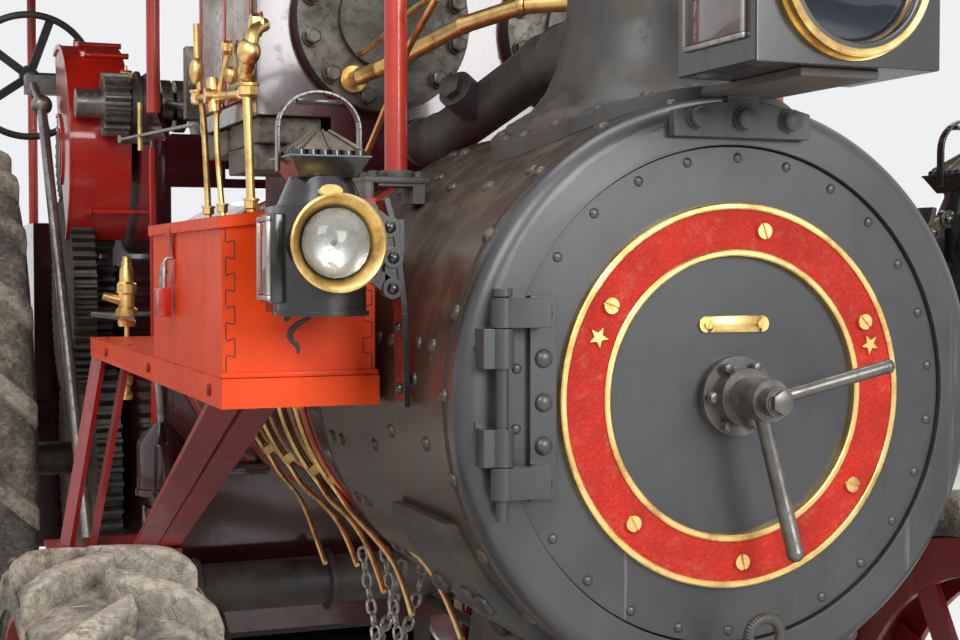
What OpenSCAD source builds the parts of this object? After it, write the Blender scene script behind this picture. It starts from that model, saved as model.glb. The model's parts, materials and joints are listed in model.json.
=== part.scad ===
// Road-going steam traction engine, sizes in millimetres.
// Z is up, the ground is z = 0, the front is -Y and the engine's right hand is -X.

/* [Boiler] */
// Height of the boiler's centre line over the ground
boiler_z = 1500; // [1480:5:1520]
// Outer radius of the lagged barrel
barrel_r = 395; // [385:1:400]
// Outer radius of the smokebox drum
smokebox_r = 432; // [425:1:440]
// Plate thickness of the smokebox drum
drum_plate = 12; // [8:1:16]
// Length from the door's ring plate to the smokebox's back
smokebox_length = 700; // [680:5:720]
// Length from the door's ring plate to the firebox
firebox_reach = 2300; // [2280:5:2320]
// Length of the firebox
firebox_length = 760; // [740:5:780]
// Half the width of the firebox
firebox_half = 400; // [396:1:404]

/* [Smokebox door] */
// Radius of the door plate
door_r = 361; // [355:1:365]
// Outer radius of the painted ring plate
ring_outer_r = 280; // [270:1:290]
// Inner radius of the painted ring plate
ring_inner_r = 203; // [195:1:210]
// Distance of the door's hinge pin from the middle
door_hinge_x = 375; // [370:1:380]
// Radius of the door's hinge pin
door_pin_r = 9; // [7:0.5:10]
// Radius of the door's hinge knuckles
knuckle_r = 16; // [14:0.5:17]

/* [Running gear] */
// Distance from the ring plate back to the front axle
front_axle_back = 360; // [350:5:370]
// Wheelbase
wheelbase = 3060; // [3040:5:3080]
// Radius of the front tyres over the lugs
front_r = 635; // [630:1:640]
// Width of the front tyres
front_w = 265; // [250:5:275]
// Distance of a front wheel's middle plane from the engine's
front_track = 852; // [845:1:860]
// Radius of the rear tyres over the lugs
rear_r = 1040; // [1035:1:1045]
// Width of the rear tyres
rear_w = 420; // [400:5:430]
// Distance of a rear wheel's inner face from the engine's middle
rear_inner = 740; // [735:1:750]
// Radius of the front stub axles
stub_r = 38; // [34:1:42]
// Radius of the rear axle
axle_r = 55; // [50:1:60]
// Radius of the perch pin
perch_pin_r = 32; // [28:1:36]
// Height of a tread lug over its tyre
lug_h = 38; // [30:1:44]

/* [Motion] */
// Height of the crankshaft
crank_z = 2170; // [2160:1:2180]
// Radius of the crankshaft's journals
shaft_r = 42; // [38:1:46]
// Throw of the cranks
throw = 127; // [120:1:130]
// Distance of each cylinder from the middle
cylinder_x = 190; // [180:1:200]
// Length of the connecting rods
rod_length = 640; // [620:5:650]
// Radius of the flywheel
flywheel_r = 685; // [660:5:700]
// Width of the flywheel's rim
flywheel_w = 150; // [130:5:160]
// Distance from the ring plate to the cylinder block
cylinder_reach = 1000; // [990:5:1010]
// Length of the cylinder block
cylinder_length = 550; // [530:5:560]
// Module of the change gears' teeth
tooth = 10; // [10:1:10]
// Module of the final gears' teeth
final_tooth = 14; // [14:1:14]

/* [Fittings] */
// Radius of the chimney's neck
neck_r = 125; // [118:1:132]
// Height of the chimney's top over the ground
chimney_top = 3360; // [3300:10:3400]
// Distance from the ring plate to the chimney's centre line
chimney_back = 290; // [280:5:300]
// Height of the canopy's underside at its edges
canopy_z = 2960; // [2920:10:3000]
// Half the canopy's width
canopy_half = 930; // [880:10:980]
// Radius of the canopy's posts
post_r = 19; // [16:1:22]
// Width of the head-lamp's box
lamp_w = 280; // [260:5:290]
// Depth of the head-lamp's box
lamp_d = 200; // [180:5:210]
// Height of the head-lamp's box
lamp_h = 290; // [270:5:300]
// Width of a side lamp's box
side_lamp_w = 130; // [120:1:135]
// Height of the footboards over the ground
board_z = 1522; // [1515:1:1530]
// Thickness of the footboards
board_t = 45; // [40:1:50]
// Width of the toolbox
toolbox_w = 236; // [230:1:238]
// Length of the toolbox
toolbox_l = 590; // [570:5:610]
// Radius of the steering hand wheel
hand_wheel_r = 225; // [210:5:235]

/* [Fits] */
// Radial running clearance of turning pieces
run_fit = 0.06; // [0.03:0.01:0.09]
// Gap under pieces seated on a curved plate
seat_gap = 0.3; // [0.2:0.05:0.4]
// Gap of free faces that move past each other
face_gap = 5; // [4:0.5:6]

/* [Hidden] */
$fn = 0;
$fa = 3;
$fs = 2;

front_reach = 292;
tender_overhang = 1300;
drawbar_reach = 150;
rear_reach = front_axle_back + wheelbase + tender_overhang + drawbar_reach;
ring_y = -(rear_reach - front_reach) / 2;
front_y = ring_y + front_axle_back;
rear_y = front_y + wheelbase;
shell_y0 = ring_y + 34;
shell_y1 = ring_y + smokebox_length;
barrel_y0 = shell_y1 + 16;
box_y0 = ring_y + firebox_reach;
box_y1 = box_y0 + firebox_length;
chimney_y = ring_y + chimney_back;
cyl_y0 = ring_y + cylinder_reach;
cyl_y1 = cyl_y0 + cylinder_length;
tender_y0 = rear_y + 570;
tender_y1 = rear_y + tender_overhang;
floor_z = rear_r + 140;
hinge_y = ring_y - knuckle_r;
fire_z = boiler_z - 150;

// Shaft places follow from the tooth counts.
pinion1_n = 17;
gear2_n = 62;
pinion2_n = 28;
gear3_n = 62;
pinion3_n = 15;
final_n = 75;
final_dir = 118;
change_dir = 90;
reach_final = (pinion3_n + final_n) * final_tooth / 2;
reach_change = (pinion2_n + gear3_n) * tooth / 2;
reach_first = (pinion1_n + gear2_n) * tooth / 2;
shaft3_y = rear_y + reach_final * cos(final_dir);
shaft3_z = rear_r + reach_final * sin(final_dir);
shaft2_y = shaft3_y + reach_change * cos(change_dir);
shaft2_z = shaft3_z + reach_change * sin(change_dir);
crank_y = shaft2_y - sqrt(reach_first * reach_first - (crank_z - shaft2_z) * (crank_z - shaft2_z));
plate_t = 16;
horn_x = firebox_half + plate_t;

// Basic solids

module box(x0, y0, z0, x1, y1, z1) {
    translate([x0, y0, z0]) cube([x1 - x0, y1 - y0, z1 - z0]);
}

module rod_x(x0, x1, y, z, r) {
    translate([x0, y, z]) rotate([0, 90, 0]) cylinder(h = x1 - x0, r = r);
}

module rod_y(y0, y1, x, z, r) {
    translate([x, y0, z]) rotate([-90, 0, 0]) cylinder(h = y1 - y0, r = r);
}

module rod_z(z0, z1, x, y, r) {
    translate([x, y, z0]) cylinder(h = z1 - z0, r = r);
}

module rod(a, b, r) {
    d = b - a;
    n = norm(d);
    translate(a) rotate([0, acos(d[2] / n), atan2(d[1], d[0])]) cylinder(h = n, r = r);
}

// Pipe along a list of points, with a brazed ball joint at each inner point.
module pipe(points, r) {
    for (i = [0 : len(points) - 2]) {
        rod(points[i], points[i + 1], r);
        if (i > 0) translate(points[i]) sphere(r * 1.12);
    }
}

// Flat bar between two points.
module bar(a, b, w, t) {
    d = b - a;
    n = norm(d);
    translate(a) rotate([0, acos(d[2] / n), atan2(d[1], d[0])]) translate([-t / 2, -w / 2, 0]) cube([t, w, n]);
}

module both() {
    children();
    mirror([1, 0, 0]) children();
}

module side_plate(x0, x1, outline) {
    translate([x0, 0, 0]) rotate([90, 0, 90]) linear_extrude(x1 - x0) polygon(outline);
}

// Toothed wheel about the X axis with one tooth centred on the given direction.
module gear(n, m, w, x0, y, z, dir, bore) {
    r = n * m / 2;
    translate([x0, y, z]) rotate([90, 0, 90]) linear_extrude(w) difference() {
        union() {
            circle(r - 1.1 * m);
            for (i = [0 : n - 1]) rotate(dir + i * 360 / n) polygon([
                [r - 1.3 * m, -0.92 * m], [r - 1.3 * m, 0.92 * m], [r, 0.72 * m],
                [r + 0.9 * m, 0.36 * m], [r + 0.9 * m, -0.36 * m], [r, -0.72 * m]]);
        }
        circle(bore);
    }
}

// Boiler

module smokebox_shell() {
    color([0.09, 0.08, 0.07]) difference() {
        rod_y(shell_y0, shell_y1, 0, boiler_z, smokebox_r);
        rod_y(shell_y0 - 1, shell_y1 + 1, 0, boiler_z, smokebox_r - drum_plate);
        rod_z(boiler_z, boiler_z + smokebox_r + 10, 0, chimney_y, neck_r - 15);
    }
}

// Cast front ring with a rounded shoulder, a seat for the door and two hinge knuckles.
module smokebox_front() {
    shoulder = 28;
    color([0.1, 0.1, 0.1]) union() {
        translate([0, ring_y, boiler_z]) rotate([-90, 0, 0]) rotate_extrude() {
            difference() {
                union() {
                    translate([door_r - 30, 30]) square([smokebox_r - drum_plate - seat_gap - door_r + 30, 30]);
                    translate([door_r + 2, 4]) square([smokebox_r - door_r - 2, 30]);
                }
                translate([smokebox_r - shoulder, 4 + shoulder]) difference() {
                    translate([0, -shoulder - 1]) square(shoulder + 1);
                    circle(shoulder);
                }
            }
        }
        for (s = [[50, 104], [-83, -32]]) {
            rod_z(boiler_z + s[0], boiler_z + s[1], -door_hinge_x, hinge_y, knuckle_r);
            box(-door_hinge_x - 30, hinge_y - 8, boiler_z + s[0], -door_hinge_x - 4, ring_y + 8, boiler_z + s[1]);
        }
        rod_z(boiler_z - 158, boiler_z + 147, -door_hinge_x, hinge_y, door_pin_r);
        rod_z(boiler_z + 147, boiler_z + 158, -door_hinge_x, hinge_y, door_pin_r + 5);
    }
}

module tube_plate() {
    color([0.12, 0.1, 0.09]) difference() {
        rod_y(shell_y1, barrel_y0, 0, boiler_z, smokebox_r);
        for (row = [-3 : 3]) {
            for (k = [-3 : 3]) {
                x = k * 78 + (row % 2) * 39;
                z = row * 68 - 20;
                if (norm([x, z]) < 285) rod_y(shell_y1 - 1, shell_y1 + 10, x, boiler_z + z, 24);
            }
        }
    }
}

// Door plate with its hinge strap and the two knuckles that turn on the pin.
module smokebox_door() {
    color([0.1, 0.1, 0.1]) difference() {
        union() {
            rod_y(ring_y + 12, ring_y + 30 - seat_gap, 0, boiler_z, door_r);
            box(-326, ring_y + 2, boiler_z - 136, -286, ring_y + 12, boiler_z + 148);
            for (s = [[105, 145], [-128, -84]]) {
                rod_z(boiler_z + s[0], boiler_z + s[1], -door_hinge_x, hinge_y, knuckle_r);
                box(-door_hinge_x, hinge_y - 14, boiler_z + s[0], -308, hinge_y + 2, boiler_z + s[1]);
                box(-326, hinge_y - 14, boiler_z + s[0], -308, ring_y + 5, boiler_z + s[1]);
            }
        }
        rod_z(boiler_z - 200, boiler_z + 200, -door_hinge_x, hinge_y, door_pin_r + run_fit);
    }
}

// Painted ring plate and, inside it, the small blank number plate.
module door_plates() {
    z0 = boiler_z + 92;
    color([0.75, 0.12, 0.08]) {
        difference() {
            rod_y(ring_y, ring_y + 12, 0, boiler_z, ring_outer_r);
            rod_y(ring_y - 1, ring_y + 13, 0, boiler_z, ring_inner_r);
        }
        union() {
            box(-46, ring_y + 8, z0, 46, ring_y + 12, z0 + 24);
            for (x = [-46, 46]) rod_y(ring_y + 8, ring_y + 12, x, z0 + 12, 12);
        }
    }
}

// Dart with its flange, boss, nuts and the two closing handles.
module door_dart() {
    nose = ring_y - 84;
    color([0.15, 0.15, 0.15]) union() {
        rod_y(ring_y - 4, ring_y + 12, 0, boiler_z, 58);
        rod_y(ring_y - 30, ring_y - 4, 0, boiler_z, 42);
        rod_y(nose - 8, ring_y - 30, 0, boiler_z, 30);
        rod_y(nose - 30, nose - 8, 0, boiler_z, 22);
        for (a = [0 : 60 : 300]) {
            rod_y(ring_y - 14, ring_y - 4, 48 * cos(a), boiler_z + 48 * sin(a), 7);
        }
        rod([0, nose, boiler_z], [190, nose - 12, boiler_z + 44], 10);
        rod([0, nose + 26, boiler_z], [52, nose + 10, boiler_z - 220], 12);
        translate([190, nose - 12, boiler_z + 44]) sphere(11);
        translate([52, nose + 10, boiler_z - 220]) sphere(13);
    }
}

module boiler_barrel() {
    color([0.3, 0.06, 0.07]) rod_y(barrel_y0, box_y0, 0, boiler_z, barrel_r);
}

module boiler_bands() {
    bands = [[barrel_y0 + 4, 60], [barrel_y0 + 240, 38], [cyl_y1 + 150, 60], [box_y0 - 70, 60]];
    color([0.6, 0.1, 0.08]) for (b = bands) {
        translate([0, b[0], boiler_z]) rotate([-90, 0, 0]) rotate_extrude() {
            translate([barrel_r + seat_gap, 0]) square([5, b[1]]);
        }
    }
}

// Round-topped firebox with its open furnace, up to the back plates.
module firebox() {
    color([0.28, 0.06, 0.07]) difference() {
        union() {
            box(-firebox_half, box_y0, 660, firebox_half, box_y1 - 90, boiler_z);
            rod_y(box_y0, box_y1 - 90, 0, boiler_z, firebox_half);
        }
        box(-firebox_half + 90, box_y0 + 90, 600, firebox_half - 90, box_y1, boiler_z - 20);
    }
}

// Back plates of the firebox with the fire hole through them and the hinge of its door.
module backhead() {
    color([0.28, 0.06, 0.07]) difference() {
        union() {
            box(-firebox_half, box_y1 - 90, 660, firebox_half, box_y1, boiler_z);
            rod_y(box_y1 - 90, box_y1, 0, boiler_z, firebox_half);
        }
        rod_y(box_y1 - 100, box_y1 + 1, 0, fire_z, 130);
    }
    color([0.15, 0.14, 0.14]) {
        rod_z(fire_z - 92, fire_z + 92, -165, box_y1 + 18, 8);
        for (z = [-92, -7, 78]) box(-180, box_y1, fire_z + z, -150, box_y1 + 24, fire_z + z + 14);
    }
}

module ashpan() {
    color([0.1, 0.09, 0.09]) union() {
        difference() {
            box(-firebox_half + 40, box_y0 + 30, 540, firebox_half - 40, box_y1 - 30, 660);
            box(-firebox_half + 50, box_y0 + 40, 550, firebox_half - 50, box_y1 - 40, 661);
            box(-firebox_half + 90, box_y0, 570, firebox_half - 90, box_y0 + 60, 640);
        }
        for (i = [0 : 11]) {
            box(-firebox_half + 50, box_y0 + 95 + i * 50, 630, firebox_half - 50, box_y0 + 115 + i * 50, 655);
        }
    }
}

module firebox_door() {
    hinge = -165;
    z = fire_z;
    color([0.13, 0.12, 0.12]) union() {
        rod_y(box_y1 + 4, box_y1 + 18, 0, z, 145);
        for (dz = [-60, 60]) {
            difference() {
                union() {
                    box(hinge, box_y1 + 12, z + dz - 14, 60, box_y1 + 26, z + dz + 14);
                    rod_z(z + dz - 14, z + dz + 14, hinge, box_y1 + 18, 16);
                }
                rod_z(z + dz - 15, z + dz + 15, hinge, box_y1 + 18, 8 + run_fit);
            }
        }
        box(90, box_y1 + 18, z - 8, 116, box_y1 + 58, z + 8);
    }
}

// Chimney

module chimney_base() {
    z_top = boiler_z + 660;
    color([0.1, 0.1, 0.1]) difference() {
        union() {
            intersection() {
                rod_z(boiler_z + 300, z_top, 0, chimney_y, 250);
                rod_y(chimney_y - 260, chimney_y + 260, 0, boiler_z, smokebox_r + 20);
            }
            translate([0, chimney_y, boiler_z]) rotate_extrude() difference() {
                polygon([[0, 300], [225, 300], [225, 400], [neck_r + 90, 418], [neck_r + 60, 436],
                         [neck_r + 36, 466], [neck_r + 18, 506], [neck_r + 6, 560], [neck_r, 620],
                         [neck_r, 640], [neck_r + 22, 640], [neck_r + 22, 660], [0, 660]]);
            }
            rod_y(chimney_y + 40, chimney_y + neck_r + 34, -60, boiler_z + 544, 58);
        }
        rod_y(chimney_y - 300, chimney_y + 300, 0, boiler_z, smokebox_r + seat_gap);
        rod_z(boiler_z, z_top + 1, 0, chimney_y, neck_r - 15);
    }
}

module chimney() {
    z0 = boiler_z + 660;
    rise = chimney_top - z0;
    color([0.09, 0.09, 0.09]) translate([0, chimney_y, z0]) rotate_extrude() polygon([
        [neck_r - 15, 0], [neck_r + 22, 0], [neck_r + 22, 20], [neck_r, 24], [neck_r + 16, rise - 150],
        [neck_r + 22, rise - 146], [neck_r + 22, rise - 120], [neck_r + 26, rise - 100],
        [neck_r + 62, rise - 30], [neck_r + 66, rise - 12], [neck_r + 58, rise],
        [neck_r + 44, rise - 10], [neck_r + 8, rise - 110], [neck_r - 3, rise - 150]]);
}

module blast_pipe() {
    color([0.12, 0.11, 0.1]) difference() {
        union() {
            rod_z(boiler_z + 10, boiler_z + 240, 0, chimney_y, 46);
            rod_y(chimney_y, shell_y1, 0, boiler_z + 40, 46);
        }
        rod_z(boiler_z + 100, boiler_z + 241, 0, chimney_y, 34);
    }
}

// Plates and bearings

module hornplates() {
    shafts = [[crank_y, crank_z, shaft_r], [shaft2_y, shaft2_z, 38], [shaft3_y, shaft3_z, 42], [rear_y, rear_r, axle_r]];
    outline = [[box_y0, 720], [box_y0, crank_z - 130], [crank_y - 190, crank_z + 20],
               [crank_y - 130, crank_z + 80], [crank_y + 130, crank_z + 80], [shaft2_y + 90, shaft2_z + 130],
               [shaft2_y + 120, shaft2_z - 60], [rear_y - 80, floor_z + 340], [tender_y0 - 120, floor_z + 300],
               [tender_y0, floor_z + 340], [tender_y0, rear_r - 260], [rear_y - 140, rear_r - 260],
               [box_y1, 720]];
    color([0.25, 0.05, 0.06]) difference() {
        union() {
            both() side_plate(firebox_half, horn_x, outline);
            both() box(firebox_half, barrel_y - 60, barrel_z - 60, horn_x, box_y0 + 1, barrel_z + 60);
            difference() {
                box(-firebox_half, box_y0, boiler_z + firebox_half + 5, firebox_half, box_y0 + 14, crank_z - 120);
                for (s = [-1, 1]) {
                    box(s * cylinder_x - 60, box_y0 - 1, boiler_z + firebox_half + 30,
                        s * cylinder_x + 60, box_y0 + 15, crank_z - 119);
                }
            }
        }
        for (s = shafts) rod_x(-500, 500, s[0], s[1], s[2] + seat_gap);
        rod_x(-500, 500, barrel_y, barrel_z, 24 + run_fit);
    }
}

module shaft_bearings() {
    shafts = [[crank_y, crank_z, shaft_r, 78], [shaft2_y, shaft2_z, 38, 66],
              [shaft3_y, shaft3_z, 42, 70], [rear_y, rear_r, axle_r, 96]];
    color([0.2, 0.2, 0.19]) both() for (s = shafts) difference() {
        union() {
            rod_x(horn_x, horn_x + 28, s[0], s[1], s[3]);
            rod_x(horn_x, horn_x + 12, s[0], s[1], s[3] + 22);
        }
        rod_x(horn_x - 1, horn_x + 30, s[0], s[1], s[2] + run_fit);
    }
}

// Cylinders and motion

cyl_half = 470;
cyl_top = crank_z + 190;

module cylinder_block() {
    x = cyl_half;
    color([0.3, 0.05, 0.06]) difference() {
        union() {
            translate([0, cyl_y1, 0]) rotate([90, 0, 0]) linear_extrude(cylinder_length) union() {
                polygon([[-320, boiler_z + 220], [320, boiler_z + 220], [320, crank_z - 190],
                         [-320, crank_z - 190]]);
                difference() {
                    translate([-x, crank_z - 190]) square([2 * x, 380]);
                    for (s = [-1, 1]) for (z = [crank_z - 190, crank_z + 190]) {
                        difference() {
                            translate([s * x - 70, z - 70]) square(140);
                            translate([s * (x - 70), z + (z > crank_z ? -70 : 70)]) circle(70);
                            translate([s * (x - 140) - 70, z - 71]) square([140, 142]);
                            translate([s * x - 71, z + (z > crank_z ? -140 : 0)]) square([142, 140]);
                        }
                    }
                }
            }
            box(-110, cyl_y0 + 180, cyl_top - 20, 110, cyl_y0 + 400, cyl_top + 70);
        }
        rod_y(cyl_y0 - 10, cyl_y1 + 10, 0, boiler_z, barrel_r + seat_gap);
    }
}

module cylinder_covers() {
    color([0.35, 0.35, 0.34]) both() union() {
        rod_y(cyl_y0 - 34, cyl_y0, cylinder_x + 30, crank_z, 178);
        rod_y(cyl_y0 - 50, cyl_y0 - 34, cylinder_x + 30, crank_z, 96);
        for (a = [15 : 30 : 345]) {
            rod_y(cyl_y0 - 52, cyl_y0 - 34, cylinder_x + 30 + 155 * cos(a), crank_z + 155 * sin(a), 13);
        }
        difference() {
            union() {
                rod_y(cyl_y1, cyl_y1 + 30, cylinder_x, crank_z, 145);
                rod_y(cyl_y1 + 30, cyl_y1 + 90, cylinder_x, crank_z, 52);
            }
            rod_y(cyl_y1 - 1, cyl_y1 + 91, cylinder_x, crank_z, 22 + seat_gap);
        }
    }
}

module safety_valves() {
    z0 = cyl_top + 70;
    y = cyl_y0 + 290;
    color([0.75, 0.6, 0.28]) union() {
        rod_z(z0, z0 + 24, 0, y, 92);
        for (x = [-45, 45]) {
            rod_z(z0 + 24, z0 + 120, x, y, 26);
            rod_z(z0 + 120, z0 + 140, x, y, 34);
        }
        box(-80, y - 14, z0 + 140, 80, y + 14, z0 + 158);
        rod_z(z0, z0 + 190, 0, y + 60, 12);
        rod_z(z0 + 190, z0 + 290, 0, y + 60, 30);
        rod_z(z0 + 290, z0 + 310, 0, y + 60, 12);
    }
}

module exhaust_pipe() {
    r = 46;
    z = boiler_z + 436;
    y1 = chimney_y + neck_r + 34;
    color([0.12, 0.12, 0.12]) union() {
        pipe([[-130, cyl_y0, z], [-130, cyl_y0 - 120, z], [-60, y1 + 100, boiler_z + 544],
              [-60, y1, boiler_z + 544]], r);
        rod_y(cyl_y0 - 20, cyl_y0, -130, z, 50);
        rod_y(y1, y1 + 18, -60, boiler_z + 544, 58);
    }
}

module blower_pipe() {
    y = cyl_y0 - 34;
    color([0.75, 0.58, 0.22]) difference() {
        union() {
            pipe([[-288, y, crank_z - 118], [-288, y - 60, crank_z - 118],
                  [-270, y - 130, crank_z - 110], [-205, chimney_y + 280, boiler_z + 606],
                  [-150, chimney_y + 150, boiler_z + 622], [-40, chimney_y + 40, boiler_z + 622]], 15);
            rod_y(y - 12, y, -288, crank_z - 118, 26);
        }
        translate([0, chimney_y, boiler_z]) cylinder(h = 700, r = neck_r + 4 + seat_gap);
    }
}

throw_dir = [225, 135];

function pin_y(i) = crank_y + throw * cos(throw_dir[i]);
function pin_z(i) = crank_z + throw * sin(throw_dir[i]);
function head_y(i) = pin_y(i) - sqrt(rod_length * rod_length - (pin_z(i) - crank_z) * (pin_z(i) - crank_z));
function side(i) = i == 0 ? -cylinder_x : cylinder_x;

module slide_bars() {
    y0 = cyl_y1 + 30;
    y1 = box_y0;
    color([0.45, 0.45, 0.44]) for (i = [0, 1]) for (s = [-1, 1]) {
        z = crank_z + s * 80;
        box(side(i) - 45, y0, z - 13, side(i) + 45, y1, z + 13);
    }
}

module crossheads() {
    color([0.5, 0.5, 0.48]) for (i = [0, 1]) {
        x = side(i);
        y = head_y(i);
        union() {
            difference() {
                box(x - 45, y - 70, crank_z - 67 + seat_gap, x + 45, y + 70, crank_z + 67 - seat_gap);
                box(x - 22, y - 38, crank_z - 68, x + 22, y + 71, crank_z + 68);
            }
            rod_x(x - 45, x + 45, y, crank_z, 22);
            rod_y(cyl_y1 - 0, y - 60, x, crank_z, 22);
        }
    }
}

module connecting_rods() {
    color([0.55, 0.55, 0.53]) for (i = [0, 1]) {
        x = side(i);
        a = [x, head_y(i), crank_z];
        b = [x, pin_y(i), pin_z(i)];
        tilt = atan2(b[2] - a[2], b[1] - a[1]);
        difference() {
            translate(a) rotate([tilt, 0, 0]) union() {
                box(-14, 20, -24, 14, rod_length - 50, 24);
                rod_x(-18, 18, 0, 0, 36);
                rod_x(-30, 30, rod_length, 0, 68);
                box(-26, rod_length - 90, -52, 26, rod_length, 52);
            }
            rod_x(x - 60, x + 60, a[1], a[2], 22 + run_fit);
            rod_x(x - 60, x + 60, b[1], b[2], 40 + run_fit);
        }
    }
}

module crankshaft() {
    color([0.5, 0.5, 0.5]) union() {
        rod_x(-600, -cylinder_x - 36, crank_y, crank_z, shaft_r);
        rod_x(-cylinder_x + 36, cylinder_x - 36, crank_y, crank_z, shaft_r);
        rod_x(cylinder_x + 36, flywheel_x1 + 30, crank_y, crank_z, shaft_r);
        for (i = [0, 1]) {
            rod_x(side(i) - 40, side(i) + 40, pin_y(i), pin_z(i), 40);
            for (s = [-1, 1]) translate([side(i) + s * 53 - 17, crank_y, crank_z]) rotate([throw_dir[i], 0, 0]) {
                box(0, -70, -58, 34, throw + 55, 58);
            }
        }
        gear(pinion1_n, tooth, 76, -horn_x - 108, crank_y, crank_z, change_out, shaft_r - 2);
    }
}

flywheel_x0 = 560;
flywheel_x1 = flywheel_x0 + flywheel_w;
change_out = atan2(shaft2_z - crank_z, shaft2_y - crank_y);
change_in = atan2(shaft3_z - shaft2_z, shaft3_y - shaft2_y);
final_in = atan2(rear_r - shaft3_z, rear_y - shaft3_y);

module valve_gear() {
    color([0.45, 0.45, 0.44]) both() union() {
        for (x = [296, 340]) difference() {
            union() {
                rod_x(x - 16, x + 16, crank_y, crank_z, 78);
                rod([x, crank_y - 60, crank_z], [x, crank_y - 560, crank_z + (x == 296 ? 70 : -60)], 13);
            }
            rod_x(x - 17, x + 17, crank_y, crank_z, shaft_r + run_fit);
        }
        box(284, crank_y - 590, crank_z - 90, 384, crank_y - 550, crank_z + 100);
        rod_y(cyl_y1, crank_y - 580, 366, crank_z, 14);
    }
}

module second_shaft() {
    color([0.32, 0.32, 0.31]) union() {
        rod_x(-horn_x - 190, horn_x + 40, shaft2_y, shaft2_z, 38);
        gear(gear2_n, tooth, 70, -horn_x - 105, shaft2_y, shaft2_z, change_out + 180 + 180 / gear2_n, 36);
        gear(pinion2_n, tooth, 74, -horn_x - 186, shaft2_y, shaft2_z, change_in, 36);
    }
}

module third_shaft() {
    color([0.3, 0.3, 0.29]) union() {
        rod_x(-horn_x - 190, horn_x + 40, shaft3_y, shaft3_z, 42);
        gear(gear3_n, tooth, 70, -horn_x - 184, shaft3_y, shaft3_z, change_in + 180 + 180 / gear3_n, 40);
        gear(pinion3_n, final_tooth, 76, -horn_x - 108, shaft3_y, shaft3_z, final_in, 40);
    }
}

module rear_axle() {
    hub_end = rear_inner + rear_w;
    color([0.28, 0.28, 0.28]) union() {
        rod_x(-hub_end - 14, hub_end + 14, rear_y, rear_r, axle_r);
        gear(final_n, final_tooth, 80, -horn_x - 110, rear_y, rear_r, final_in + 180 + 180 / final_n, axle_r - 2);
        both() rod_x(hub_end + 14, hub_end + 34, rear_y, rear_r, axle_r + 26);
    }
}

module flywheel() {
    color([0.3, 0.06, 0.07]) difference() {
        union() {
            difference() {
                rod_x(flywheel_x0, flywheel_x1, crank_y, crank_z, flywheel_r);
                rod_x(flywheel_x0 - 1, flywheel_x1 + 1, crank_y, crank_z, flywheel_r - 42);
            }
            rod_x(flywheel_x0 + 10, flywheel_x1 - 10, crank_y, crank_z, 95);
            for (a = [0 : 60 : 300]) translate([0, crank_y, crank_z]) rotate([a, 0, 0]) {
                box(flywheel_x0 + 52, 60, -34, flywheel_x1 - 52, flywheel_r - 30, 34);
            }
        }
        rod_x(flywheel_x0 - 2, flywheel_x1 + 2, crank_y, crank_z, shaft_r + run_fit);
    }
}

// Sheet guard over the front of the first pair of gears, on two brackets.
module gear_guard() {
    r = gear2_n * tooth / 2 + 28;
    x0 = -horn_x - 190;
    color([0.75, 0.09, 0.05]) difference() {
        union() {
            translate([x0, shaft2_y, shaft2_z]) rotate([90, 0, 90]) rotate([0, 0, 75])
                rotate_extrude(angle = 138) translate([r, 0]) square([5, 176]);
            box(-horn_x - 26, shaft2_y - 20, shaft2_z + 100, -horn_x, shaft2_y + 20, shaft2_z + r + 3);
            translate([-horn_x - 26, shaft2_y, shaft2_z]) rotate([205, 0, 0])
                box(0, r - 60, -20, 26, r + 3, 20);
        }
        rod_x(x0 - 1, -horn_x + 30, crank_y, crank_z, pinion1_n * tooth / 2 + 18);
    }
}

module governor() {
    y = cyl_y0 + 120;
    z0 = cyl_top;
    color([0.2, 0.2, 0.19]) union() {
        rod_z(z0, z0 + 30, 330, y, 55);
        rod_z(z0 + 30, z0 + 260, 330, y, 16);
        for (a = [0, 120, 240]) {
            rod([330, y, z0 + 250], [330 + 85 * cos(a), y + 85 * sin(a), z0 + 165], 7);
            rod([330, y, z0 + 90], [330 + 85 * cos(a), y + 85 * sin(a), z0 + 165], 7);
            translate([330 + 85 * cos(a), y + 85 * sin(a), z0 + 165]) sphere(30);
        }
    }
}

// Front carriage

axle_top = 780;

module perch_bracket() {
    r = smokebox_r + seat_gap;
    color([0.09, 0.09, 0.09]) difference() {
        union() {
            intersection() {
                box(-410, ring_y + 110, boiler_z - 470, 410, front_y + 260, boiler_z - 180);
                rod_y(ring_y + 110, front_y + 260, 0, boiler_z, r + 22);
            }
            side_plate(-230, 230, [[ring_y + 150, boiler_z - 300], [front_y + 220, boiler_z - 300],
                                   [front_y + 120, axle_top + 130], [front_y + 90, axle_top + 60],
                                   [front_y - 90, axle_top + 60], [front_y - 120, axle_top + 130]]);
            rod_z(axle_top + 8, axle_top + 100, 0, front_y, 110);
            rod_z(560, axle_top + 20, 0, front_y, perch_pin_r);
            rod_z(530, 562, 0, front_y, perch_pin_r + 24);
        }
        rod_y(ring_y, front_y + 400, 0, boiler_z, r);
    }
}

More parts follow.
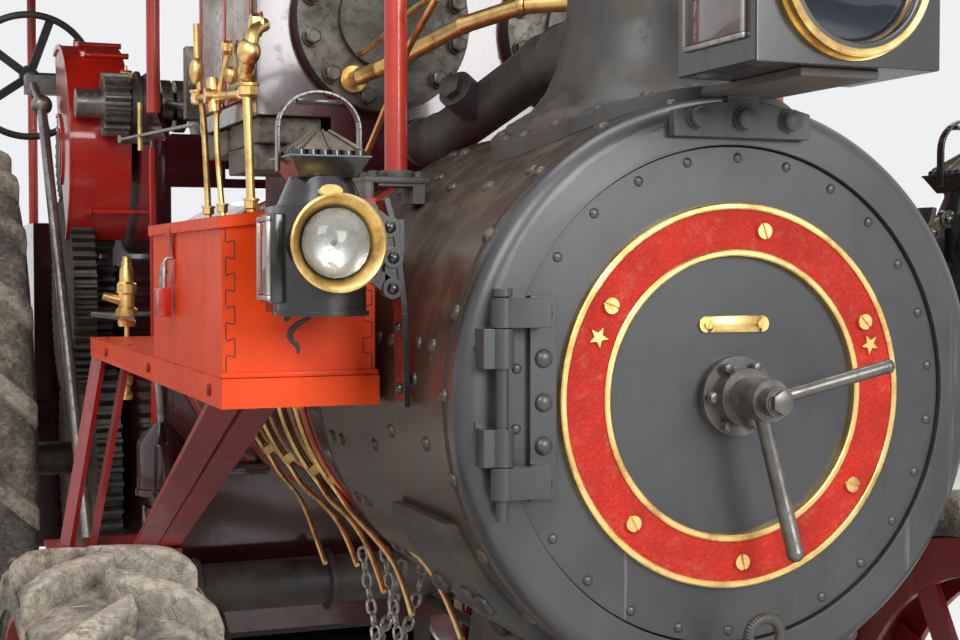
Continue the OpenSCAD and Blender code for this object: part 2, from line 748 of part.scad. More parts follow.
module front_axle() {
    inner = front_track - front_w / 2;
    color([0.35, 0.05, 0.05]) difference() {
        union() {
            translate([0, front_y + 55, 0]) rotate([90, 0, 0]) linear_extrude(110) polygon([
                [-inner + 40, front_r - 50], [-420, front_r - 50], [-160, front_r + 10], [160, front_r + 10],
                [420, front_r - 50], [inner - 40, front_r - 50], [inner - 40, front_r + 50], [420, front_r + 56],
                [160, axle_top], [-160, axle_top], [-420, front_r + 56], [-inner + 40, front_r + 50]]);
            rod_z(580, axle_top, 0, front_y, 100);
            both() {
                rod_x(inner - 60, front_track + front_w / 2 + 4, front_y, front_r, stub_r);
                rod_x(inner - 60, inner - 20, front_y, front_r, stub_r + 26);
                rod_x(front_track + front_w / 2 + 4, front_track + front_w / 2 + 22, front_y, front_r, stub_r + 18);
                box(520, front_y + 55, front_r - 20, 560, front_y + 100, front_r + 20);
            }
        }
        rod_z(500, axle_top + 10, 0, front_y, perch_pin_r + run_fit);
    }
}

// Spoked wheel: rolled rim with two inner rings, two rows of flat spokes and a hub.
module spoked_wheel(x0, w, y, z, rim_r, spokes, hub_r, spoke_w, bore) {
    mid = x0 + w / 2;
    difference() {
        union() {
            difference() {
                rod_x(x0 + 14, x0 + w - 14, y, z, rim_r);
                rod_x(x0, x0 + w, y, z, rim_r - 14);
            }
            for (s = [-1, 1]) {
                difference() {
                    rod_x(mid + s * w * 0.22 - 7, mid + s * w * 0.22 + 7, y, z, rim_r - 4);
                    rod_x(mid + s * w * 0.22 - 8, mid + s * w * 0.22 + 8, y, z, rim_r - 78);
                }
                rod_x(mid + s * w * 0.22 - 8, mid + s * w * 0.22 + 8, y, z, hub_r * 1.9);
            }
            rod_x(x0, x0 + w, y, z, hub_r);
            for (i = [0 : spokes - 1]) {
                s = i % 2 == 0 ? 1 : -1;
                translate([mid + s * w * 0.22 - s * 10 - 7, y, z]) rotate([i * 360 / spokes, 0, 0]) {
                    box(0, hub_r * 0.9, -spoke_w / 2, 14, rim_r - 20, spoke_w / 2);
                }
            }
        }
        rod_x(x0 - 1, x0 + w + 1, y, z, bore);
    }
}

module tyre(x0, w, y, z, r, rim_r) {
    translate([x0, y, z]) rotate([0, 90, 0]) rotate_extrude() polygon([
        [rim_r + seat_gap, 6], [rim_r + 24, 0], [r - 40, 8], [r - 8, 26], [r, 60],
        [r, w - 60], [r - 8, w - 26], [r - 40, w - 8], [rim_r + 24, w], [rim_r + seat_gap, w - 6]]);
}

front_rim_r = front_r - 90;
rear_rim_r = rear_r - 135;

module front_wheel_right() {
    color([0.5, 0.06, 0.05])
        spoked_wheel(-front_track - front_w / 2, front_w, front_y, front_r, front_rim_r, 12, 75, 62, stub_r + run_fit);
}

module front_wheel_left() {
    mirror([1, 0, 0]) front_wheel_right();
}

module front_tyre_right() {
    color([0.2, 0.19, 0.18]) tyre(-front_track - front_w / 2, front_w, front_y, front_r, front_r, front_rim_r);
}

module front_tyre_left() {
    mirror([1, 0, 0]) front_tyre_right();
}

module rear_wheel_right() {
    color([0.5, 0.06, 0.05])
        spoked_wheel(-rear_inner - rear_w, rear_w, rear_y, rear_r, rear_rim_r, 16, 120, 84, axle_r + run_fit);
}

module rear_wheel_left() {
    mirror([1, 0, 0]) rear_wheel_right();
}

module rear_tyre_right() {
    color([0.2, 0.19, 0.18]) tyre(-rear_inner - rear_w, rear_w, rear_y, rear_r, rear_r, rear_rim_r);
}

module rear_tyre_left() {
    mirror([1, 0, 0]) rear_tyre_right();
}

// Canopy

canopy_y0 = ring_y + 446;
canopy_y1 = tender_y1 - 20;
canopy_rise = 130;
canopy_r = (canopy_half * canopy_half + canopy_rise * canopy_rise) / (2 * canopy_rise);
post_x = 360;

function roof_z(x) = canopy_z + canopy_rise - canopy_r + sqrt(canopy_r * canopy_r - x * x);

module canopy() {
    color([0.25, 0.05, 0.06]) union() {
        intersection() {
            difference() {
                rod_y(canopy_y0, canopy_y1, 0, canopy_z + canopy_rise - canopy_r, canopy_r + 18);
                rod_y(canopy_y0 - 1, canopy_y1 + 1, 0, canopy_z + canopy_rise - canopy_r, canopy_r);
            }
            box(-canopy_half, canopy_y0 - 2, canopy_z - 10, canopy_half, canopy_y1 + 2, canopy_z + 400);
        }
        both() box(canopy_half - 14, canopy_y0, canopy_z - 90, canopy_half, canopy_y1, canopy_z + 8);
        for (y = [canopy_y0, canopy_y1 - 14]) difference() {
            box(-canopy_half, y, canopy_z - 90, canopy_half, y + 14, canopy_z + canopy_rise + 16);
            difference() {
                box(-canopy_half - 1, y - 1, canopy_z, canopy_half + 1, y + 15, canopy_z + 300);
                rod_y(y - 2, y + 16, 0, canopy_z + canopy_rise - canopy_r, canopy_r + 10);
            }
        }
    }
}

module canopy_posts() {
    z0 = boiler_z + 330;
    color([0.8, 0.14, 0.06]) both() {
        difference() {
            union() {
                rod_z(z0, roof_z(post_x + post_r) - seat_gap, post_x, ring_y + 480, post_r);
                box(post_x - 40, ring_y + 450, z0 - 12, post_x + 40, ring_y + 510, z0);
                box(post_x - 40, ring_y + 450, boiler_z + 290, post_x - 20, ring_y + 510, z0);
            }
            rod_y(ring_y + 400, ring_y + 560, 0, boiler_z, smokebox_r + seat_gap);
        }
        union() {
            rod_z(crank_z - 60, roof_z(horn_x + 20 + post_r) - seat_gap, horn_x + 20, box_y0 + 60, post_r);
        }
        rod_z(1850, roof_z(540 + post_r) - seat_gap, 540, tender_y1 - 60, post_r);
    }
}

// Lamps

module headlamp_bracket() {
    y1 = ring_y + 40;
    color([0.1, 0.1, 0.1]) difference() {
        union() {
            intersection() {
                box(-112, ring_y - 14, boiler_z + 372, 112, ring_y + 4, boiler_z + 470);
                rod_y(ring_y - 14, ring_y + 4, 0, boiler_z, smokebox_r - 8);
            }
            box(-26, ring_y - 14, boiler_z + 400, 26, ring_y + 4, boiler_z + 443);
            box(-60, ring_y - 250, boiler_z + 431, 60, ring_y + 4, boiler_z + 443);
            for (x = [-76, 0, 76]) rod_y(ring_y - 30, ring_y - 14, x, boiler_z + 398, 15);
        }
        rod_y(ring_y - 20, ring_y + 20, 0, boiler_z, door_r + 8);
    }
}

module headlamp() {
    y0 = ring_y - lamp_d - 72;
    z0 = boiler_z + 443;
    zc = z0 + 120;
    color([0.07, 0.07, 0.07]) union() {
        difference() {
            box(-lamp_w / 2, y0, z0, lamp_w / 2, y0 + lamp_d, z0 + lamp_h - 60);
            rod_y(y0 - 1, y0 + lamp_d - 30, 0, zc, 92);
        }
        side_plate(-lamp_w / 2 + 30, lamp_w / 2 - 30, [[y0 + 20, z0 + lamp_h - 60],
            [y0 + lamp_d - 20, z0 + lamp_h - 60], [y0 + lamp_d - 60, z0 + lamp_h], [y0 + 60, z0 + lamp_h]]);
        difference() {
            rod_y(y0 - 20, y0, 0, zc, 108);
            rod_y(y0 - 21, y0 + 1, 0, zc, 92);
        }
        rod_y(y0 + 2, y0 + 12, 0, zc, 92);
    }
}

module side_lamps() {
    x = 570;
    y0 = ring_y + 125;
    z0 = boiler_z + 122;
    w = side_lamp_w;
    color([0.08, 0.08, 0.08]) both() {
        union() {
            difference() {
                box(x - w / 2, y0, z0, x + w / 2, y0 + w, z0 + 190);
                rod_y(y0 - 1, y0 + w - 20, x, z0 + 98, 54);
            }
            rod_y(y0 + 4, y0 + 12, x, z0 + 98, 54);
            difference() {
                rod_y(y0 - 22, y0, x, z0 + 98, 68);
                rod_y(y0 - 23, y0 + 1, x, z0 + 98, 54);
            }
            translate([x, y0 + w / 2, z0 + 190]) rotate_extrude() polygon([
                [0, 0], [60, 0], [40, 30], [36, 44], [60, 48], [24, 78], [0, 82]]);
            pipe([[x - 40, y0 + w / 2, z0 + 180], [x - 46, y0 + w / 2, z0 + 290], [x - 30, y0 + w / 2, z0 + 318],
                  [x + 30, y0 + w / 2, z0 + 318], [x + 46, y0 + w / 2, z0 + 290], [x + 40, y0 + w / 2, z0 + 180]], 5);
            box(x - w / 2 - 46, y0 + w + 22, z0 + 20, x - w / 2 - 26, y0 + w + 42, z0 + 180);
            box(x - w / 2 - 46, y0 + 30, z0 + 80, x - w / 2, y0 + 50, z0 + 110);
            box(x - w / 2 - 46, y0 + 30, z0 + 80, x - w / 2 - 26, y0 + w + 42, z0 + 110);
            difference() {
                box(smokebox_r - 60, y0 + w + 22, z0 + 50, x - w / 2 - 26, y0 + w + 42, z0 + 150);
                rod_y(y0 + w, y0 + w + 90, 0, boiler_z, smokebox_r + seat_gap);
            }
        }
    }
}

// Footboards, toolbox and step

module footboards() {
    y0 = ring_y + 305;
    y1 = ring_y + 1760;
    x0 = 445;
    x1 = 689;
    step_y = ring_y + 1640;
    step_z = board_z - 470;
    // Each strut: its top at x and y, then its foot at x and y on the step.
    struts = [[608, y0 + 75, 548, -60], [662, y0 + 95, 600, -60], [618, y1 - 90, 700, 30], [676, y1 - 60, 758, 30]];
    color([0.8, 0.15, 0.05]) both() {
        union() {
            box(x0, y0, board_z - board_t, x1, y1, board_z);
            for (s = struts) bar([s[0], s[1], board_z - board_t + 8], [s[2], step_y + s[3], step_z - 6], 50, 12);
            box(520, step_y - 110, step_z - 12, 800, step_y + 110, step_z);
            for (y = [y0 + 780, y0 + 1250]) difference() {
                box(barrel_r - 40, y, board_z - board_t - 40, x0 + 60, y + 40, board_z - board_t);
                rod_y(y - 1, y + 41, 0, boiler_z, barrel_r + seat_gap);
            }
        }
    }
}

box_x0 = 450;
box_front = ring_y + 312;

lid_x = box_x0 - 11;
lid_z = board_z + 261.3;
lid_knuckles = [60, toolbox_l - 140];

module toolbox() {
    x1 = box_x0 + toolbox_w;
    y1 = box_front + toolbox_l;
    color([0.85, 0.18, 0.05]) union() {
        difference() {
            side_box = [[-x1, board_z], [-box_x0, board_z], [-box_x0, board_z + 252], [-x1, board_z + 222]];
            translate([0, y1, 0]) rotate([90, 0, 0]) linear_extrude(toolbox_l) polygon(side_box);
            box(-x1 + 18, box_front + 18, board_z + 18, -box_x0 - 18, y1 - 18, board_z + 400);
        }
        for (k = lid_knuckles) {
            rod_y(box_front + k, box_front + k + 80, -lid_x, lid_z, 4);
            for (e = [0, 56]) {
                rod_y(box_front + k + e, box_front + k + e + 24, -lid_x, lid_z, 9);
                box(-box_x0 - 1, box_front + k + e, board_z + 180, -lid_x - 5, box_front + k + e + 24, board_z + 245);
                box(-box_x0 + 0.6, box_front + k + e, board_z + 200, -lid_x - 5, box_front + k + e + 24, lid_z);
            }
        }
    }
}

module toolbox_lid() {
    x1 = box_x0 + toolbox_w;
    y1 = box_front + toolbox_l;
    color([0.8, 0.16, 0.05]) union() {
        translate([0, y1 + 6, 0]) rotate([90, 0, 0]) linear_extrude(toolbox_l + 12) polygon([
            [-x1 - 8, board_z + 221.3], [-box_x0, board_z + 252.3], [-box_x0, board_z + 270.3],
            [-x1 - 8, board_z + 239.3]]);
        for (k = lid_knuckles) difference() {
            union() {
                rod_y(box_front + k + 25, box_front + k + 55, -lid_x, lid_z, 9);
                box(-box_x0 - 2, box_front + k + 25, lid_z - 4, -lid_x, box_front + k + 55, lid_z + 5);
            }
            rod_y(box_front + k, box_front + k + 80, -lid_x, lid_z, 4 + run_fit);
        }
    }
}

// Tender

module tender() {
    t = 10;
    w = 600;
    color([0.28, 0.06, 0.07]) union() {
        difference() {
            box(-w, tender_y0, 640, w, tender_y1, floor_z);
            box(-w + t, tender_y0 + t, 640 + t, w - t, tender_y1 - t, floor_z - t);
        }
        difference() {
            box(-w, tender_y0 + 60, floor_z - 1, w, tender_y1, 1850);
            box(-w + t, tender_y0 + 60 + t, floor_z, w - t, tender_y1 - t, 1851);
        }
        box(-firebox_half, box_y1, floor_z - 12, firebox_half, tender_y0, floor_z);
        both() box(500, tender_y1 - 90, 1838, w - 5, tender_y1 - 5, 1850);
    }
}

module drawbar() {
    z = 760;
    color([0.15, 0.15, 0.15]) difference() {
        union() {
            box(-160, tender_y1, z - 110, 160, tender_y1 + 20, z + 110);
            for (s = [-1, 1]) box(-60, tender_y1 + 20, z + s * 60 - 15, 60, tender_y1 + drawbar_reach - 60, z + s * 60 + 15);
            for (s = [-1, 1]) rod_z(z + s * 60 - 15, z + s * 60 + 15, 0, tender_y1 + drawbar_reach - 60, 60);
        }
        rod_z(z - 80, z + 80, 0, tender_y1 + drawbar_reach - 60, 22);
    }
}

module backhead_fittings() {
    y = box_y1;
    color([0.7, 0.55, 0.25]) union() {
        for (x = [-210, 210]) {
            rod_y(y, y + 50, x, boiler_z + 180, 14);
            rod_y(y, y + 50, x, boiler_z + 310, 14);
            rod_z(boiler_z + 164, boiler_z + 330, x, y + 50, 12);
        }
        rod_y(y, y + 40, 0, boiler_z + 280, 14);
        rod_y(y + 40, y + 75, 0, boiler_z + 280, 80);
    }
}

// Steering

wheel_tilt = 71;
wheel_c = [-650, ring_y + 3600, boiler_z + 842];
barrel_y = box_y0 - 130;
barrel_z = 820;
worm_r = 100;
column_top = [-650, wheel_c[1] - 420 * sin(wheel_tilt), wheel_c[2] - 420 * cos(wheel_tilt)];
column_run = norm([barrel_y - column_top[1], barrel_z - column_top[2]]);
column_turn = asin((worm_r + 26) / column_run);
column_dir = atan2(barrel_z - column_top[2], barrel_y - column_top[1]) - column_turn;
column_low = column_top + column_run * cos(column_turn) * [0, cos(column_dir), sin(column_dir)];

module steering_wheel() {
    r = hand_wheel_r;
    color([0.08, 0.08, 0.08]) translate(wheel_c) rotate([-wheel_tilt, 0, 0]) difference() {
        union() {
            rotate_extrude() translate([r - 12, 0]) circle(12);
            for (i = [0 : 4]) rotate([0, 0, i * 72]) translate([20, -14, -5]) cube([r - 34, 28, 10]);
            translate([0, 0, -24]) cylinder(h = 48, r = 34);
            rotate([0, 0, 40]) translate([r - 12, 0, 0]) cylinder(h = 100, r = 11);
        }
        translate([0, 0, -25]) cylinder(h = 50, r = 14 + run_fit);
    }
}

// Shaft from the hand wheel, its bracket on the plate, and the sloping shaft down to the worm.
module steering_shaft() {
    d = (column_low - column_top) / norm(column_low - column_top);
    color([0.2, 0.2, 0.2]) union() {
        translate(wheel_c) rotate([-wheel_tilt, 0, 0]) {
            translate([0, 0, -430]) cylinder(h = 452, r = 14);
            translate([0, 0, -44]) cylinder(h = 19, r = 24);
        }
        translate(column_top) sphere(34);
        rod(column_top, column_low - d * 60, 16);
        rod(column_low - d * 60, column_low + d * 90, 25);
        box(-horn_x - 14, wheel_c[1] - 140, floor_z + 220, -horn_x, wheel_c[1] - 80, wheel_c[2] - 10);
        box(-676, wheel_c[1] - 140, wheel_c[2] - 72, -horn_x, wheel_c[1] - 80, wheel_c[2] - 10);
    }
}

module chain_barrel() {
    color([0.15, 0.14, 0.13]) union() {
        rod_x(-700, horn_x + 60, barrel_y, barrel_z, 24);
        rod_x(-360, 360, barrel_y, barrel_z, 66);
        for (x = [-370, -6, 358]) rod_x(x, x + 12, barrel_y, barrel_z, 84);
        rod_x(-672, -628, barrel_y, barrel_z, worm_r - 2);
    }
}

module steering_chains() {
    color([0.1, 0.1, 0.1]) both() {
        rod([540, front_y + 110, front_r], [300, barrel_y, barrel_z - 80.4], 14);
    }
}

// Thin feed pipes that run round the barrel and end below it.
module oil_pipes() {
    r = barrel_r + seat_gap + 7;
    color([0.7, 0.55, 0.2]) for (i = [0 : 4]) {
        y = barrel_y0 + 84 + i * 36;
        a = 205 + i * 9;
        union() {
            translate([0, y, boiler_z]) rotate([90, 0, 0]) rotate([0, 0, 150]) rotate_extrude(angle = a - 150)
                translate([r, 0]) circle(6);
            rod([r * cos(a), y, boiler_z + r * sin(a)], [r * cos(a), y - 40, boiler_z + r * sin(a) - 220], 6);
            translate([r * cos(a), y, boiler_z + r * sin(a)]) sphere(7);
        }
    }
}

// Choosing the node

smokebox_shell();
smokebox_front();
tube_plate();
smokebox_door();
door_plates();
door_dart();
boiler_barrel();
boiler_bands();
firebox();
backhead();
ashpan();
firebox_door();
hornplates();
shaft_bearings();
chimney_base();
chimney();
blast_pipe();
cylinder_block();
cylinder_covers();
safety_valves();
exhaust_pipe();
blower_pipe();
slide_bars();
crossheads();
connecting_rods();
crankshaft();
valve_gear();
second_shaft();
third_shaft();
rear_axle();
flywheel();
gear_guard();
governor();
perch_bracket();
front_axle();
front_wheel_right();
front_wheel_left();
front_tyre_right();
front_tyre_left();
rear_wheel_right();
rear_wheel_left();
rear_tyre_right();
rear_tyre_left();
canopy();
canopy_posts();
headlamp();
headlamp_bracket();
side_lamps();
footboards();
toolbox();
toolbox_lid();
tender();
drawbar();
backhead_fittings();
steering_wheel();
steering_shaft();
chain_barrel();
steering_chains();
oil_pipes();
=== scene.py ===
import json
import math
import random
import bmesh
import bpy
from mathutils import Matrix, Vector

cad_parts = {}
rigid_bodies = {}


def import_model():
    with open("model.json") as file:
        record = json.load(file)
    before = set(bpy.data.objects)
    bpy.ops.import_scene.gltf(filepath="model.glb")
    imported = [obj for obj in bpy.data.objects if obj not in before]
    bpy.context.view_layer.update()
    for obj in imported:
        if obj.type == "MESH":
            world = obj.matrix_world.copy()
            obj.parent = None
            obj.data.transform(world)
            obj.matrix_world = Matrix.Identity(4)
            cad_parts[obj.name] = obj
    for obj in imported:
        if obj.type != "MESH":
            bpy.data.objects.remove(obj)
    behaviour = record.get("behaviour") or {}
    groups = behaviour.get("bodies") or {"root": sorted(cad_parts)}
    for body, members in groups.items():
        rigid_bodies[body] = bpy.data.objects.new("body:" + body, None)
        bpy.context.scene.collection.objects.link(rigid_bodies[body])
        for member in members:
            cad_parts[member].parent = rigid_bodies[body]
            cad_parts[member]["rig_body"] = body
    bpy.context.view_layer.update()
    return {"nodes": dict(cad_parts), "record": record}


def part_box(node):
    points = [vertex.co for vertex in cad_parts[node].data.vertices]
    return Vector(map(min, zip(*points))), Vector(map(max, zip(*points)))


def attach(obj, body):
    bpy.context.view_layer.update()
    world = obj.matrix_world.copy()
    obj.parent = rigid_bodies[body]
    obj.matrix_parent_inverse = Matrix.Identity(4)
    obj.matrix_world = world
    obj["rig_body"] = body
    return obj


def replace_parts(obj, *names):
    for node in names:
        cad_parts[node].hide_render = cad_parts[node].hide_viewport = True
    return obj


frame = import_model()


# Smokebox: a drum of rolled steel plate, lapped and riveted, painted black.
# Years of oil, dust and rain have left it streaked. A cast ring with a rounded shoulder closes its front.
class Coat:
    """A socket in a finish. Operators add Math nodes and node() adds any other node."""

    def __init__(self, tree, socket=None):
        self.tree = tree
        self.socket = socket

    def node(self, kind, settings=None, inputs=None, out=0):
        made = self.tree.nodes.new("ShaderNode" + kind)
        for name, value in (settings or {}).items():
            if name == "stops":
                ramp = made.color_ramp
                while len(ramp.elements) < len(value):
                    ramp.elements.new(0.5)
                for element, (place, shade) in zip(ramp.elements, value):
                    element.position = place
                    element.color = (*shade, 1) if hasattr(shade, "__len__") else (shade, shade, shade, 1)
            else:
                setattr(made, name, value)
        for key, value in (inputs or {}).items():
            if isinstance(value, Coat):
                self.tree.links.new(value.socket, made.inputs[key])
            else:
                made.inputs[key].default_value = value
        return Coat(self.tree, made.outputs[out]) if len(made.outputs) else self

    def maths(self, operation, a, b=0.0, c=0.0):
        return self.node("Math", {"operation": operation}, {0: a, 1: b, 2: c})

    def __add__(self, other):
        return self.maths("ADD", self, other)

    __radd__ = __add__

    def __sub__(self, other):
        return self.maths("SUBTRACT", self, other)

    def __rsub__(self, other):
        return self.maths("SUBTRACT", other, self)

    def __mul__(self, other):
        return self.maths("MULTIPLY", self, other)

    __rmul__ = __mul__

    def step(self, low, high):
        return self.node("MapRange", {"interpolation_type": "SMOOTHSTEP"},
                         {0: self, 1: low, 2: high, 3: 0.0, 4: 1.0})

    def blend(self, a, b):
        a = a if isinstance(a, Coat) else (*a, 1)
        b = b if isinstance(b, Coat) else (*b, 1)
        return self.node("Mix", {"data_type": "RGBA"}, {0: self, 6: a, 7: b}, 2)

    def noise(self, scale, detail=4.0, rough=0.55, stretch=None, seed=0.0):
        place = self.node("TexCoord", None, None, 3)
        place = self.node("Mapping", None, {0: place, 1: (seed, seed * 0.7, seed * 1.3),
                                            3: stretch or (1, 1, 1)})
        return self.node("TexNoise", None, {"Vector": place, "Scale": scale, "Detail": detail,
                                            "Roughness": rough})

    def cells(self, scale, feature="F1", seed=0.0, out=0):
        place = self.node("TexCoord", None, None, 3)
        place = self.node("Mapping", None, {0: place, 1: (seed, seed, seed)})
        return self.node("TexVoronoi", {"feature": feature}, {"Vector": place, "Scale": scale}, out)

    def facing(self, axis):
        turned = self.node("TexCoord", None, None, 1)
        return self.node("SeparateXYZ", None, {0: turned}, axis)

    def along(self, axis):
        place = self.node("TexCoord", None, None, 3)
        return self.node("SeparateXYZ", None, {0: place}, axis)

    def edges(self, reach):
        eased = self.node("Bevel", {"samples": 4}, {"Radius": reach})
        flat = self.node("NewGeometry", None, None, 1)
        bent = self.node("VectorMath", {"operation": "DOT_PRODUCT"}, {0: eased, 1: flat}, 1)
        return (1.0 - bent).step(0.02, 0.3)


def new_finish(name):
    finish = bpy.data.materials.new(name)
    finish.use_nodes = True
    finish.node_tree.nodes.clear()
    return finish, Coat(finish.node_tree)


def settle(finish, coat, colour, rough, metallic=0.0, height=None, bump=0.3, depth=0.002, gloss=0.0,
           **fixed):
    """Joins the parts of a finish to its surface. Fixed numbers sit on the shader's own sockets."""
    inputs = {"Base Color": colour if isinstance(colour, Coat) else (*colour, 1), "Roughness": rough,
              "Metallic": metallic, "Coat Weight": gloss,
              "Coat Roughness": fixed.pop("coat_roughness", 0.08)}
    inputs.update({key.replace("_", " "): value for key, value in fixed.items()})
    if height is not None:
        inputs["Normal"] = coat.node("Bump", None, {"Strength": bump, "Distance": depth, "Height": height})
    surface = coat.node("BsdfPrincipled", None, inputs)
    coat.node("OutputMaterial", None, {0: surface})
    return finish


def worn_black(name, base, rust, dust, dust_share, shine):
    """Black paint on iron: rusty specks, oily streaks that run down, pale dust, and bare worn edges."""
    finish, coat = new_finish(name)
    broad = coat.noise(3.5, 6, 0.6)
    streak = coat.noise(26, 5, 0.6, (1, 1, 0.16), 3.1)
    fine = coat.noise(160, 3, 0.6, None, 1.7)
    specks = coat.noise(70, 5, 0.7, None, 5.2).step(0.62, 0.7)
    patch = coat.noise(9, 6, 0.62, None, 8.8).step(0.52, 0.66)
    worn = coat.edges(0.004) * coat.noise(45, 4, 0.6, None, 2.2).step(0.42, 0.6)
    top = coat.facing(2).step(-0.1, 0.9)
    dusty = (top * 0.5 + dust_share) * coat.noise(22, 7, 0.7, None, 4.4).step(0.4, 0.72)
    tint = broad.step(0.3, 0.7).blend(base, [c * 1.5 + 0.004 for c in base])
    tint = (streak.step(0.5, 0.72) * 0.6).blend(tint, [c * 0.5 for c in base])
    tint = (patch * 0.45 + specks * 0.5).blend(tint, rust)
    tint = (worn * 0.8).blend(tint, [c * 0.9 + 0.05 for c in rust])
    tint = (dusty * 0.55).blend(tint, dust)
    rough = shine + broad * 0.16 + dusty * 0.3 + patch * 0.18 + fine * 0.06
    return settle(finish, coat, tint, rough, 0.0, fine * 0.5 + specks * 0.6 + patch * 0.4, 0.35, 0.0012)


def stand(solid, name, finish, body, smooth=34, edge=0.0):
    """Turns a finished bmesh into a piece that rides on a body."""
    for face in solid.faces:
        face.smooth = True
    for rim in solid.edges:
        rim.smooth = len(rim.link_faces) == 2 and rim.calc_face_angle(0) < math.radians(smooth)
    mesh = bpy.data.meshes.new(name)
    solid.to_mesh(mesh)
    solid.free()
    for coat in finish if isinstance(finish, (list, tuple)) else [finish]:
        mesh.materials.append(coat)
    piece = bpy.data.objects.new(name, mesh)
    bpy.context.scene.collection.objects.link(piece)
    if edge:
        bevel = piece.modifiers.new("eased edges", "BEVEL")
        bevel.width = edge
        bevel.segments = 2
        bevel.limit_method = "ANGLE"
        bevel.angle_limit = math.radians(smooth)
        bevel.harden_normals = True
    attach(piece, body)
    return piece


def eased(node, finish, edge=0.0):
    """A copy of a cast or rolled node, merged, with eased edges and smooth curves, shown in its place."""
    source = frame["nodes"][node]
    solid = bmesh.new()
    solid.from_mesh(source.data)
    bmesh.ops.remove_doubles(solid, verts=solid.verts, dist=0.00002)
    bmesh.ops.dissolve_limit(solid, angle_limit=math.radians(0.6), verts=solid.verts, edges=solid.edges)
    slots = [row["material_slot"] for row in frame["record"]["subparts"] if row["node"] == node]
    piece = stand(solid, node + "_dressed", finish, source["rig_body"],
                  edge=edge)
    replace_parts(piece, node)
    return piece


def aim(point, way):
    """The place and turn that carries a shape built along Z to a point, facing a way."""
    return Matrix.Translation(Vector(point)) @ Vector(way).to_track_quat("Z", "Y").to_matrix().to_4x4()


def dome(solid, point, way, radius, rise=0.62):
    """A rivet's head: the upper part of a flattened ball, sunk a little in its plate."""
    shape = aim(point, way) @ Matrix.Diagonal((radius, radius, radius * rise, 1))
    bmesh.ops.create_uvsphere(solid, u_segments=14, v_segments=8, radius=1, matrix=shape)


def hexagon(solid, point, way, across, height):
    """A nut or bolt head with a chamfered top, on a thin washer."""
    turn = aim(point, way)
    bmesh.ops.create_cone(solid, cap_ends=True, segments=20, radius1=across * 0.66, radius2=across * 0.66,
                          depth=height * 0.2, matrix=turn @ Matrix.Translation((0, 0, height * 0.1)))
    bmesh.ops.create_cone(solid, cap_ends=True, segments=6, radius1=across / 1.732, radius2=across / 1.732,
                          depth=height * 0.72, matrix=turn @ Matrix.Translation((0, 0, height * 0.54)))
    bmesh.ops.create_cone(solid, cap_ends=True, segments=6, radius1=across / 1.732, radius2=across / 2.3,
                          depth=height * 0.12, matrix=turn @ Matrix.Translation((0, 0, height * 0.96)))


def rod(solid, a, b, radius, sides=16, end=None):
    """A plain or tapered round bar between two points."""
    a, b = Vector(a), Vector(b)
    bmesh.ops.create_cone(solid, cap_ends=True, segments=sides, radius1=radius,
                          radius2=radius if end is None else end,
                          depth=(b - a).length, matrix=aim((a + b) / 2, b - a))


def block(solid, low, high, edge=0.0):
    """A squared block with its edges eased."""
    low, high = Vector(low), Vector(high)
    size = high - low
    made = bmesh.ops.create_cube(solid, size=1,
                                 matrix=Matrix.Translation((low + high) / 2) @ Matrix.Diagonal((*size, 1)))
    if edge:
        rims = {rim for corner in made["verts"] for rim in corner.link_edges}
        bmesh.ops.bevel(solid, geom=list(rims), offset=edge, offset_type="OFFSET", segments=2, profile=0.5,
                        affect="EDGES", clamp_overlap=True, material=-1)


def turned(solid, outline, centre, way, sides=96):
    """A ring or bowl spun from an outline of (radius, height) points about an axis."""
    ends = [solid.verts.new((radius, 0, height)) for radius, height in outline]
    rims = [solid.edges.new((ends[i], ends[i + 1])) for i in range(len(ends) - 1)]
    bmesh.ops.spin(solid, geom=ends + rims, cent=(0, 0, 0), axis=(0, 0, 1), angle=math.tau, steps=sides,
                   use_merge=True)
    loose = {corner for rim in rims if rim.is_valid for corner in rim.verts}
    stack = list(loose)
    while stack:
        corner = stack.pop()
        for rim in corner.link_edges:
            other = rim.other_vert(corner)
            if other not in loose:
                loose.add(other)
                stack.append(other)
    bmesh.ops.remove_doubles(solid, verts=list(loose), dist=0.00001)
    kept = [corner for corner in loose if corner.is_valid]
    bmesh.ops.transform(solid, matrix=aim(centre, way), verts=kept)
    faces = list({face for corner in kept for face in corner.link_faces})
    bmesh.ops.recalc_face_normals(solid, faces=faces)


